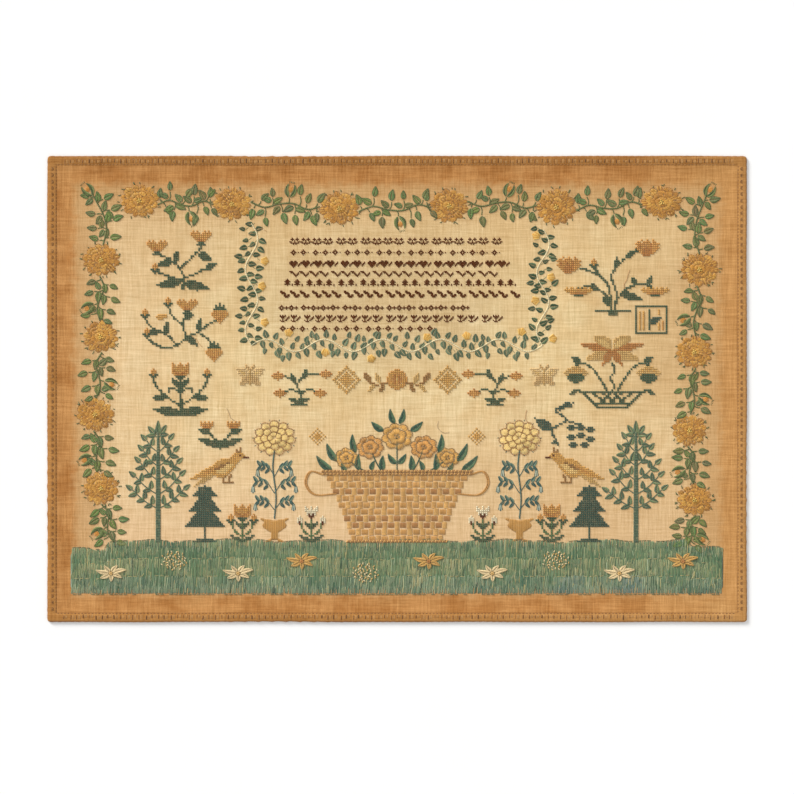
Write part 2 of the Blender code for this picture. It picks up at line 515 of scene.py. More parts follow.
def joinStitches(piece, material):
    rows = np.array(sewn[piece])
    start, end = rows[:, 0:2], rows[:, 2:4]
    width, height, lift, colour = rows[:, 4], rows[:, 5], rows[:, 6], rows[:, 7:10]
    run = end - start
    length = np.maximum(np.hypot(run[:, 0], run[:, 1]), threads["shortest"])
    way = run / length[:, None]
    side = np.stack([-way[:, 1], way[:, 0]], 1)
    baseStart, baseEnd = clothTop(start[:, 0], start[:, 1]), clothTop(end[:, 0], end[:, 1])

    along, across, up = stitchVerts.T
    count, size = len(rows), len(stitchVerts)
    lengthwise = way[:, None, :] * (along[None, :, None] * length[:, None, None])
    crosswise = side[:, None, :] * (across[None, :, None] * width[:, None, None])
    plan = ((start + end) / 2)[:, None, :] + lengthwise + crosswise
    base = baseStart[:, None] * (0.5 - along) + baseEnd[:, None] * (0.5 + along)
    isEnd = abs(along) > 0.49
    stand = np.where(isEnd, -threads["endDip"], threads["arch"])
    rise = base + lift[:, None] * np.where(isEnd, threads["endLift"], 1.0) + height[:, None] * (stand + up)
    places = np.concatenate([plan, rise[..., None]], 2).reshape(-1, 3) * mm

    triangles = (stitchFaces[None] + np.arange(count)[:, None, None] * size).reshape(-1)
    mesh = bpy.data.meshes.new(piece)
    mesh.vertices.add(len(places))
    mesh.vertices.foreach_set("co", places.ravel())
    mesh.loops.add(len(triangles))
    mesh.loops.foreach_set("vertex_index", triangles)
    mesh.polygons.add(len(triangles) // 3)
    mesh.polygons.foreach_set("loop_start", np.arange(0, len(triangles), 3))
    mesh.update(calc_edges=True)

    dye = mesh.color_attributes.new("threadDye", "FLOAT_COLOR", "POINT")
    tint = np.concatenate([np.clip(colour, 0, 1), np.ones((count, 1))], 1)
    dye.data.foreach_set("color", np.repeat(tint, size, 0).astype(np.float32).ravel())

    # one map runs along each thread in mm; the other gives each stitch a place of its own
    mapAlong, mapRound = cornerMap(stitchVerts, stitchFaces)
    u = mapAlong[None] * length[:, None, None]
    v = mapRound[None] * (width[:, None, None] * 2.6)
    offset = (np.arange(count) * 0.618 % 1)[:, None, None] * threads["mapSpread"]
    yarn = mesh.uv_layers.new(name="alongThread")
    yarn.uv.foreach_set("vector", np.stack([u + offset, v + offset], -1).astype(np.float32).ravel())
    perRow = math.ceil(math.sqrt(count))
    cell, gap = 1 / perRow, threads["mapGap"]
    lengthways = gap / 2 + (1 - gap) * mapAlong
    roundabout = gap / 2 + (1 - gap) * mapRound / mapRound.max()
    u = ((np.arange(count) % perRow)[:, None, None] + lengthways[None]) * cell
    v = ((np.arange(count) // perRow)[:, None, None] + roundabout[None]) * cell
    layer = mesh.uv_layers.new(name="OFBake")
    layer.uv.foreach_set("vector", np.stack([u, v], -1).astype(np.float32).ravel())
    mesh.shade_smooth()
    mesh.materials.append(material)
    print(f"{piece}: {count} stitches, {len(triangles) // 3} triangles")
    return addObject(piece, mesh)


def threadMaterial(name, roughness, sheen, twist, fleck, worn):
    s = Shader(name)
    dye = s.add("ShaderNodeAttribute", attribute_name="threadDye").outputs["Color"]
    along = s.add("ShaderNodeUVMap", uv_map="alongThread").outputs[0]
    place = s.objectPlace(1000)  # in mm
    fibres = s.noise(along, (0.9, 5.5, 1.0), 3, 0.6)
    fade = s.noise(place, 0.035, 3, 0.55)
    light = s.plus(s.fit(s.minus(fibres, 0.5), fleck, 1.0), s.times(s.minus(fade, 0.5), 0.35))
    grey = s.add("ShaderNodeCombineColor")
    for socket in grey.inputs[:3]:
        s.feed(socket, light)
    colour = s.mix(1.0, dye, grey.outputs[0], "MULTIPLY")
    patches = s.ramp(s.noise(place, 0.21, 2, 0.5), 0.52, 0.72, 0.0, worn)
    plies = s.add("ShaderNodeTexWave", wave_type="BANDS", bands_direction="DIAGONAL")
    s.feed(plies.inputs["Vector"], s.place(along, (0.9, 0.55, 1.0)))
    plies.inputs["Scale"].default_value = twist
    plies.inputs["Distortion"].default_value = 0.4
    s.bump(s.fit(plies.outputs[1], 0.7, fibres), 0.5, 0.18 * mm)
    return s.finish(s.mix(patches, colour, tone(*wornTone)), roughness, 0.25, sheen)


def track(x0, y0, x1, y1):
    # a line's length and direction, and the place at a share of its length and a distance to its left
    length = math.hypot(x1 - x0, y1 - y0)
    wx, wy = (x1 - x0) / length, (y1 - y0) / length
    return length, (wx, wy), lambda share, side=0.0: (x0 + wx * share * length - wy * side,
                                                      y0 + wy * share * length + wx * side)


def turned(way, angle):
    c, s = math.cos(angle), math.sin(angle)
    return way[0] * c - way[1] * s, way[0] * s + way[1] * c


def polar(x, y, reach, angle, squash=1.0):
    return x + reach * math.cos(angle), y + reach * math.sin(angle) * squash


def spiral(x, y, count, spread, wide, high):
    # places that fill a round patch from its middle outwards
    for k in range(count):
        angle, reach = k * 2.4, spread * math.sqrt(k)
        yield k, x + reach * math.cos(angle) * wide, y + reach * math.sin(angle) * high


def smoothLine(points, step):
    # an even run of points along a curve through the given ones
    points = np.array(points, float)
    ends = np.vstack([2 * points[0] - points[1], points, 2 * points[-1] - points[-2]])
    fine = []
    for a, b, c, d in zip(ends[:-3], ends[1:-2], ends[2:-1], ends[3:]):
        for t in np.linspace(0, 1, 24, endpoint=False):
            fine.append(0.5 * (2 * b + (c - a) * t + (2 * a - 5 * b + 4 * c - d) * t ** 2
                               + (3 * b - a - 3 * c + d) * t ** 3))
    fine = np.array(fine + [points[-1]])
    reach = np.concatenate([[0], np.cumsum(np.hypot(*np.diff(fine, axis=0).T))])
    stops = np.linspace(0, reach[-1], max(2, round(reach[-1] / step) + 1))
    return np.stack([np.interp(stops, reach, fine[:, 0]), np.interp(stops, reach, fine[:, 1])], 1)


def sewStem(piece, points, width, colour, step=2.6, lift=0.0):
    # stem stitch: each one starts beside the middle of the last
    line = smoothLine(points, step)
    for k in range(len(line) - 1):
        a, b = line[k], line[k + 1]
        way = (b - a) / max(np.hypot(*(b - a)), 1e-6)
        side = np.array([-way[1], way[0]]) * width * 0.22
        a, b = a - way * step * 0.35 - side, b + way * step * 0.2 + side
        sew(piece, *a, *b, width, shade(colour), lift=lift)


def sewLeaf(piece, x0, y0, x1, y1, breadth, dark, pale,
            thread=1.15, bend=0.0, rib=True, lift=0.0, edge=False):
    # slanting satin stitches from the midrib to each edge, with a vein or a dark outline over them
    length, way, at = track(x0, y0, x1, y1)
    count = max(4, round(length / thread))

    def rim(t, side=0.0):
        # the midrib where side is 0, and the leaf's two edges where it is 1 and -1
        half = side * breadth / 2 * max(0.0, math.sin(math.pi * min(t, 1.0) ** 0.76)) ** 0.9
        return at(t, bend * length * 4 * t * (1 - t) + half)

    for side in (1, -1):
        for k in range(count):
            t = (k + 0.35) / count * 0.93
            a, b = rim(t), rim(t + 0.24 * (1 - t), side * chance.uniform(0.93, 1.07))
            if math.dist(a, b) > 0.8:
                sew(piece, *a, *b, thread * 1.12, shade(dark if side > 0 and not edge else pale), lift=lift)
        if edge:
            for k in range(4):
                a, b = rim(k / 4, side), rim((k + 1.15) / 4, side)
                sew(piece, *a, *b, thread * 0.66, shade(dark), lift=lift + 0.3)
    if rib:
        for k in range(3):
            sew(piece, *rim(k / 3), *rim((k + 1.1) / 3 * 0.95), thread * 0.8, shade(dark), lift=lift + 0.45)


def sewFan(piece, x, y, inner, outer, start, finish, dyes, thread, squash, lift, rise):
    # one petal: stitches that open like a fan and end on a rounded edge
    middle, half = (start + finish) / 2, (finish - start) / 2
    count = max(3, round((finish - start) * (inner * 0.35 + outer * 0.65) / thread))
    for k in range(count):
        share = (k + 0.5) / count * 2 - 1
        angle = middle + half * share
        far = outer * (1 - threads["petalLobe"] * share * share) * chance.uniform(0.97, 1.03)
        near = inner * chance.uniform(0.92, 1.12)
        sew(piece, *polar(x, y, near, angle, squash), *polar(x, y, far, angle, squash), thread * 1.1,
            shade(dyes[k % len(dyes)], 0.13), height=thread * rise, lift=lift)


def sewArc(piece, x, y, radius, start, finish, dye, thread, squash, lift):
    # the outline of one petal
    middle, half = (start + finish) / 2, (finish - start) / 2
    count = max(2, round((finish - start) * radius / 3.2))
    points = []
    for k in range(count + 1):
        share = k / count * 2 - 1
        reach = radius * (1 - threads["petalLobe"] * share * share)
        points.append(polar(x, y, reach, middle + half * share, squash))
    for a, b in zip(points, points[1:]):
        sew(piece, *a, *b, thread, shade(dye), lift=lift)


# border of roses and leaves on three sides
# roses: middle x, y, half width, half height in mm; the sprays lie between them
# rings of a rose: its edge and its foot as shares of the rose, how many petals, and how high they lie
border = {
    "roses": (
        (-336.5, 246.0, 25.5, 21.5), (-215.5, 241.5, 25.0, 21.0), (-75.3, 235.8, 26.0, 21.5),
        (68.1, 239.0, 24.5, 22.0), (208.1, 237.5, 26.0, 24.0), (345.5, 243.8, 26.5, 21.0),
        (-386.4, 168.5, 24.0, 21.0), (-387.2, 68.0, 23.0, 20.5), (-394.4, -33.3, 24.5, 21.5),
        (-386.4, -129.6, 23.0, 21.5), (395.3, 156.0, 25.0, 21.5), (388.2, 48.2, 23.5, 21.0),
        (382.0, -54.0, 22.5, 20.5), (388.5, -145.0, 23.0, 20.5)),
    "rings": ((1.04, 0.68, 12, 0.0), (0.82, 0.48, 10, 0.12), (0.60, 0.28, 7, 0.24), (0.38, 0.08, 5, 0.36)),
    "ringTurn": 0.35, "outlined": 0.7, "heartKnots": 8, "heartSpread": 0.045, "tickGroups": 13,
    "ochres": ((205, 149, 60), (191, 134, 51), (176, 119, 44), (216, 164, 73), (199, 139, 53)),
    "ochreDark": (156, 106, 46), "ochrePale": (238, 198, 96), "budOrange": (216, 142, 66),
    "leafDark": (82, 95, 48), "leafPale": (124, 136, 76), "stem": (98, 106, 54),
    "thread": 1.3, "leafThread": 1.4, "leafLength": 13.6, "leafBreadth": 7.9, "budLength": 19,
    "stemWidth": 2.0, "twigWidth": 1.4,
}


def sewRose(x, y, wide, high, turn):
    dyes = [tone(*c) for c in border["ochres"]]
    dark, pale, green = tones(border, "ochreDark", "ochrePale", "leafDark")
    squash, thread = high / wide, border["thread"]
    for reach, foot, petals, lift in border["rings"]:
        edges = [turn + (k + chance.uniform(-0.25, 0.25)) * math.tau / petals for k in range(petals)]
        edges.append(edges[0] + math.tau)
        for start, finish in zip(edges, edges[1:]):
            first = chance.randrange(len(dyes))
            outer = wide * reach * chance.uniform(0.95, 1.04)
            petal = [dyes[first], dyes[first], dyes[(first + 1) % len(dyes)]]
            sewFan("borderRoses", x, y, wide * foot, outer, start + 0.02, finish - 0.02, petal, thread,
                   squash, lift, 0.45)
            if chance.random() < border["outlined"]:
                line = dark if chance.random() < 0.4 else dyes[2]
                sewArc("borderRoses", x, y, outer, start, finish, line, thread * 0.5, squash, lift + 0.1)
        turn += border["ringTurn"]
    for k, cx, cy in spiral(x, y, border["heartKnots"], wide * border["heartSpread"], 1.2, 1.2 * squash):
        dye = shade(pale, 0.2)
        sew("borderRoses", cx - 0.9, cy - 0.5, cx + 0.9, cy + 0.5, 1.6, dye, height=1.3, lift=0.8)
    # little groups of green ticks stand round the flower
    for k in range(border["tickGroups"]):
        angle = turn + (k + chance.uniform(-0.35, 0.35)) * math.tau / border["tickGroups"]
        for j in range(chance.randrange(1, 3)):
            lean = angle + chance.uniform(-0.12, 0.12)
            near, far = wide * chance.uniform(0.95, 1.02), wide * chance.uniform(1.10, 1.22)
            sew("borderLeaves", *polar(x, y, near, angle, squash), *polar(x, y, far, lean, squash), 1.1,
                shade(green), lift=0.2)


# sprays follow a line from 0 to 1, with side distances in mm
# a twig: place on the line, side, length, lean, and how many leaves it bears (0 is a bud)
sprays = {
    "long": {
        "stem": ((0.0, -5), (0.20, 1), (0.42, -4), (0.62, -5), (0.82, 2), (1.0, -2)),
        "twigs": (
            (0.05, 1, 6, -0.2, 1), (0.10, -1, 6, 0.5, 1), (0.19, 1, 12, 0.1, 2), (0.31, -1, 10, -0.1, 3),
            (0.42, 1, 11, 0.4, 2), (0.53, -1, 8, 0.3, 0), (0.62, 1, 13, 0.2, 3), (0.71, -1, 13, 0.1, 1),
            (0.79, -1, 6, 0.3, 1), (0.84, 1, 8, 0.5, 2), (0.93, -1, 7, 0.6, 1), (0.95, 1, 6, 0.1, 1))},
    "short": {
        "stem": ((0.0, 2), (0.25, -4), (0.5, 1), (0.75, 4), (1.0, 0)),
        "twigs": ((0.06, 1, 6, 0.3, 1), (0.12, -1, 9, 0.3, 2), (0.29, 1, 12, 0.1, 3), (0.38, -1, 12, 0.3, 2),
                  (0.56, 1, 7, 0.4, 0), (0.67, -1, 11, 0.4, 2), (0.80, 1, 9, 0.4, 2), (0.92, -1, 6, 0.5, 1))},
    "corner": {
        "stem": ((0.0, 0), (0.26, -5), (0.5, -2), (0.72, 6), (0.9, 13)),
        "twigs": ((0.06, 1, 6, 0.3, 1), (0.10, -1, 6, 0.3, 2), (0.28, 1, 11, 0.2, 3), (0.36, -1, 10, 0.3, 2),
                  (0.52, 1, 9, 0.3, 2), (0.56, -1, 11, 0.3, 3), (0.72, -1, 9, 0.5, 2), (0.80, 1, 6, 0.3, 2),
                  (0.86, 1, 1, 0.9, 0))},
}

# where each spray runs: its kind, from x, y, to x, y, and whether it is turned over
sprayRuns = (
    ("long", -312, 246, -240, 243, 1), ("long", -191, 239, -101, 236, -1), ("long", -50, 237, 44, 239, 1),
    ("long", 92, 240, 183, 238, -1), ("long", 234, 238, 320, 243, 1),
    ("short", -386, 147, -388, 89, -1), ("short", -388, 47, -393, -12, 1),
    ("short", -394, -55, -387, -108, -1),
    ("short", 394, 134, 390, 69, -1), ("short", 388, 27, 383, -33, 1), ("short", 382, -75, 387, -124, -1),
    ("corner", -384, 188, -386, 264, 1), ("corner", 395, 176, 391, 262, -1),
    ("short", -384, -150, -370, -200, -1), ("short", 388, -165, 378, -203, 1),
)


def sewBud(x0, y0, x1, y1):
    # a pale bud held between two green sepals, with hairs at its tip
    at = track(x0, y0, x1, y1)[2]
    orange, dark, pale = tones(border, "budOrange", "leafDark", "leafPale")
    ochre = tone(*border["ochres"][0])
    for k in range(7):
        t = (k - 3) * 0.95
        foot, tip = at(0.32 + abs(t) * 0.03, t * 0.75), at(0.86 - abs(t) * 0.05, t)
        sew("borderRoses", *foot, *tip, 1.2, shade(orange if k % 2 else ochre))
    for side in (1, -1):
        sewLeaf("borderLeaves", *at(0.0, side * 0.8), *at(1.02, side * 3.4), 5.4, dark, pale, 1.1,
                bend=side * 0.17, rib=False, lift=0.2)
    for k in range(4):
        sew("borderLeaves", *at(0.98, (k - 1.5) * 1.7), *at(1.14, (k - 1.5) * 2.3), 0.75, shade(dark))


def sewSpray(kind, x0, y0, x1, y1, flip):
    length, way, at = track(x0, y0, x1, y1)
    dark, pale, stem = tones(border, "leafDark", "leafPale", "stem")
    bends = np.array(sprays[kind]["stem"])
    sewStem("borderLeaves", [at(share, side * flip) for share, side in bends], border["stemWidth"], stem)
    for place, side, reach, lean, leaves in sprays[kind]["twigs"]:
        place += chance.uniform(-0.015, 0.015)
        angle = flip * side * (math.pi / 2 - lean - chance.uniform(-0.15, 0.15))
        x, y = at(place, np.interp(place, bends[:, 0], bends[:, 1]) * flip)
        dx, dy = turned(way, angle)
        tipX, tipY = x + dx * reach, y + dy * reach
        bx, by = turned(way, angle - flip * side * 0.25)
        twig = ((x, y), (x + bx * reach * 0.5, y + by * reach * 0.5), (tipX, tipY))
        sewStem("borderLeaves", twig, border["twigWidth"], stem)
        if leaves == 0:
            sewBud(tipX, tipY, tipX + dx * border["budLength"], tipY + dy * border["budLength"])
        # one leaf at the tip, the others lower down on alternate sides
        for back, fan in ((0.0, 0.0), (0.75, 1.15), (0.55, -1.15))[:leaves]:
            fx, fy = turned(way, angle + flip * fan + chance.uniform(-0.2, 0.2))
            size = border["leafLength"] * chance.uniform(0.84, 1.12)
            inner = tuple(a + (b - a) * chance.uniform(0.5, 1.1) for a, b in zip(dark, pale))
            footX, footY = tipX - dx * reach * back + fx * 1.2, tipY - dy * reach * back + fy * 1.2
            breadth = border["leafBreadth"] * size / border["leafLength"]
            sewLeaf("borderLeaves", footX, footY, footX + fx * size, footY + fy * size, breadth, dark, inner,
                    border["leafThread"], chance.uniform(-0.07, 0.07), rib=False, edge=True)


def sewBorder():
    for run in sprayRuns:
        sewSpray(*run)
    for k, (x, y, wide, high) in enumerate(border["roses"]):
        sewRose(x, y, wide, high, k * 0.7)


# leaf garland round the middle panel, in mm: two rows of leaves on each side of a pale stem, with buds
# the upright legs are worked in the leaf colours and the level one in the low colours
garland = {
    "corners": ((-190, 216), (-190, 57), (190, 57), (191, 208)),
    "wave": 8.0, "waveLength": 76.0, "leafEvery": 11.2, "leafLength": 11.0, "leafBreadth": 7.6,
    "rowFoot": (1.5, 11.5), "rowDrop": (2, 4.5), "rowShift": 5.6, "sideShift": 2.8, "reach": 12.5,
    "clearEnds": 12,
    "leafDark": (62, 83, 50), "leafPale": (98, 116, 78), "lowDark": (92, 109, 80), "lowPale": (122, 138, 104),
    "stem": (238, 222, 176), "stemWidth": 1.5, "stalk": (116, 128, 88), "stalkWidth": 0.7,
    "bud": (222, 168, 76), "budPale": (238, 198, 110), "budEvery": (4, 6), "budLength": 13.0,
    "budThreads": 10, "budSpread": 1.4,
}


def sewGarland():
    g = garland
    stem, stalk = tones(g, "stem", "stalk")
    step = 0
    for leg in range(3):
        level = leg == 1
        dark, pale = tones(g, "lowDark", "lowPale") if level else tones(g, "leafDark", "leafPale")
        length, way, at = track(*g["corners"][leg], *g["corners"][leg + 1])
        waves = max(2, round(length / g["waveLength"]))
        swing = lambda s: g["wave"] * math.sin(s / length * waves * math.tau)
        count = round(length / 7)
        line = [at(k / count, swing(length * k / count)) for k in range(count + 1)]
        sewStem("garland", line, g["stemWidth"], stem, 3.0)
        leaves = round(length / g["leafEvery"])
        for k in range(leaves):
            s = (k + 0.5) * length / leaves
            if level and abs(s - length / 2) > length / 2 - g["clearEnds"]:
                continue
            for side, row in ((1, 0), (1, 1), (-1, 0), (-1, 1)):
                foot = swing(s) + side * g["rowFoot"][row]
                if abs(foot) > g["reach"]:
                    continue
                along = s + row * g["rowShift"] + side * g["sideShift"] + chance.uniform(-1.6, 1.6)
                size = chance.uniform(0.8, 1.14)
                lean = chance.uniform(-0.35, 0.75)
                tip = along + g["leafLength"] * size * math.sin(lean)
                if tip > length + 4:
                    continue
                a = at(along / length, foot)
                b = at(tip / length, foot + side * g["leafLength"] * size * math.cos(lean))
                root = at((along - 3.5) / length, foot - side * g["rowDrop"][row])
                sew("garland", *root, *a, g["stalkWidth"], shade(stalk))
                step += row
                if row and step % g["budEvery"][level] == 0:
                    sewGarlandBud(a, b)
                else:
                    inner = pale if chance.random() < 0.45 else dark
                    breadth = g["leafBreadth"] * size
                    sewLeaf("garland", *a, *b, breadth, dark, inner, bend=0.05 * side, rib=False)


def sewGarlandBud(a, b):
    # a small fan of yellow stitches that opens at its tip
    bud, pale = tones(garland, "bud", "budPale")
    length, way, at = track(*a, *b)
    for k in range(garland["budThreads"]):
        t = (k - (garland["budThreads"] - 1) / 2) * garland["budSpread"]
        reach = (garland["budLength"] - abs(t) * 0.7) / length
        sew("garland", *at(0.0, t * 0.25), *at(reach, t), 1.6, shade(bud if k % 3 else pale))


# colours of the counted cross stitch, by their letter in the charts
palette = {
    "t": (76, 96, 69), "d": (69, 93, 76), "g": (94, 119, 76), "o": (214, 156, 82), "r": (194, 132, 68),
    "y": (220, 168, 88), "p": (236, 198, 126), "c": (240, 226, 190), "k": (102, 48, 4), "b": (166, 122, 68),
    "n": (216, 176, 108), "f": (232, 198, 140), "e": (218, 180, 120),
}
dyeOf = {key: tone(*value) for key, value in palette.items()}


def crossStitch(piece, cells, x, y, pitch, spread=0.12, fullness=0.56):
    # cells are (column, row) with row 0 at the foot; x, y is the middle of cell 0, 0
    half, thread = pitch * 0.47, pitch * fullness
    high, crossing = thread * 0.53, thread * 0.28
    for (column, row), key in cells.items():
        cx, cy = x + column * pitch, y + row * pitch
        dye = shade(dyeOf[key], spread)
        sew(piece, cx - half, cy - half, cx + half, cy + half, thread, dye, high)
        sew(piece, cx - half, cy + half, cx + half, cy - half, thread, shade(dye, 0.04), high, crossing)


def readChart(chart):
    # a chart is drawn from the top down
    rows = chart.split()
    return {(column - len(line) // 2, up): key for up, line in enumerate(reversed(rows))
            for column, key in enumerate(line) if key != "."}


# rows of small pattern in dark thread: each runs from x to x at height y, in mm
bands = {
    "pitch": 1.6, "fullness": 0.60,
    "rows": (
        (-140, 140, 193.8, "buds"), (-140, 136, 179.0, "diamonds"), (-140, 162, 163.8, "hearts"),
        (-140, 136, 151.0, "steps"), (-148, 160, 139.8, "firs"), (-152, 168, 124.8, "leaves"),
        (-154, 110, 106.8, "crosslets"), (-154, 156, 92.8, "carnations"), (-154, 60, 79.6, "diamonds")),
    "repeats": {
        "buds": "..k...k..  .kkk.kkk.  ..k.k.k..  kk..k..kk  .kkkkkkk.  ...k.k...",
        "diamonds": "...k....  ..kkk...  .kk.kk.k  ..kkk...  ...k....",
        "hearts": ".kk.kk....  kkkkkkk..k  kkkkkkk.kk  .kkkkk.kk.  ..kkk..k..  ...k......",
        "steps": "kkk.....  .kkk...k  ...kk.kk  ....kkk.  .....k..",
        "firs": "...k....  ..kkk...  .kkkkk..  ..kkk...  .kkkkk.k  ...k...k",
        "leaves": "kk......  kkkk....  .kkkk...  ...kk.kk  ...kkkkk  ....kkk.",
        "crosslets": "..k.....  .kkk..k.  kk.kkkkk  .kkk..k.  ..k.....",
        "carnations": ".k.k.k...  .kkkkk..k  ..kkk..kk  ...k..kk.  .k.k.kk..  ..kkk....",
    },
}


def sewBands():
    pitch = bands["pitch"]
    for x0, x1, y, name in bands["rows"]:
        lines = bands["repeats"][name].split()
        wide, start, run = len(lines[0]), 0, chance.randrange(2, 5)
        while start + wide <= int((x1 - x0) / pitch):
            cells = {(start + c, len(lines) - 1 - r): "k" for r, line in enumerate(lines)
                     for c, key in enumerate(line) if key == "k"}
            foot = y - len(lines) / 2 * pitch + chance.uniform(-0.3, 0.3)
            crossStitch("patternBands", cells, x0, foot, pitch, 0.18, bands["fullness"])
            start += wide
            run -= 1
            if run == 0:  # a short rest in the pattern
                start += 2
                run = chance.randrange(2, 5)


# flower heads on the counted grid
heads = {
    "carnation": (
        ".o.o...o.o. ooooo.ooooo oyoyoooyoyo .ooyoyoyoo. ..ooroooo.. ...orrro... ....ttt.... ...ttttt..."),
    "tulip": "o...o...o oo.ooo.oo ooyoooyoo oyyoyoyyo oryyoyyro oorryrroo .oorrroo. ..ttttt.. ...ttt...",
    "berry": (
        "....t.... ..t.t.t.. ..ttttt.. .ttttttt. .ooyooyo. ooooyoooo oyoooooyo .oooyooo. ..ooroo.. "
        "...ooo... ....o...."),
    "rosette": (
        "....ooo.... ..ooyyyoo.. .oyyoooyyo. .oyoryroyo. oyooryroooo oyorrprroyo ooooryrooyo .oyoryroyo. "
        ".oyyoooyyo. ..ooyyyoo.. ....ooo...."),
    "tuft": "..o.. .ooo. .oyo. ttott .ttt. ..t..",
    "lily": "c..c..c cc.c.cc ccccccc .ccccc. .ckckc. ..kkk.. ...k...",
    "lilyBud": "..c.. .ccc. .ccc. .ckc. ..k..",
    "pink": (
        "...o..o..o... .oo.oooo.oo.. ooooroooroooo .orooroorooo. ooroorroroooo .ooorrrrrooo. ..oorrrrroo.. "
        "...orrrrro... ....rrrr....."),
    "fan": ".y.yy.y.y.yy.y. yyyoyyyoyyyoyyy .yyooyoooyooyy. ...oorrrrroo... .....ttttt.....",
    "diamond": "...r... .rroor. rooooor .oooor. ...o...",
    "acorn": (
        "....nnnnn.... ..nnnynynnn.. .nnynnynnynn. nnnnnnnnnnnnn .nntttttttnn. ..ttttttttt.. ..ttttttttt.. "
        "...ttttttt... .....ttt....."),
    "grape": ".ddd. ddddd .ddd.",
    "frill": "o.o.o.o ooooooo oorooro .orrro. ..ttt..",
    "eye": "k",
}

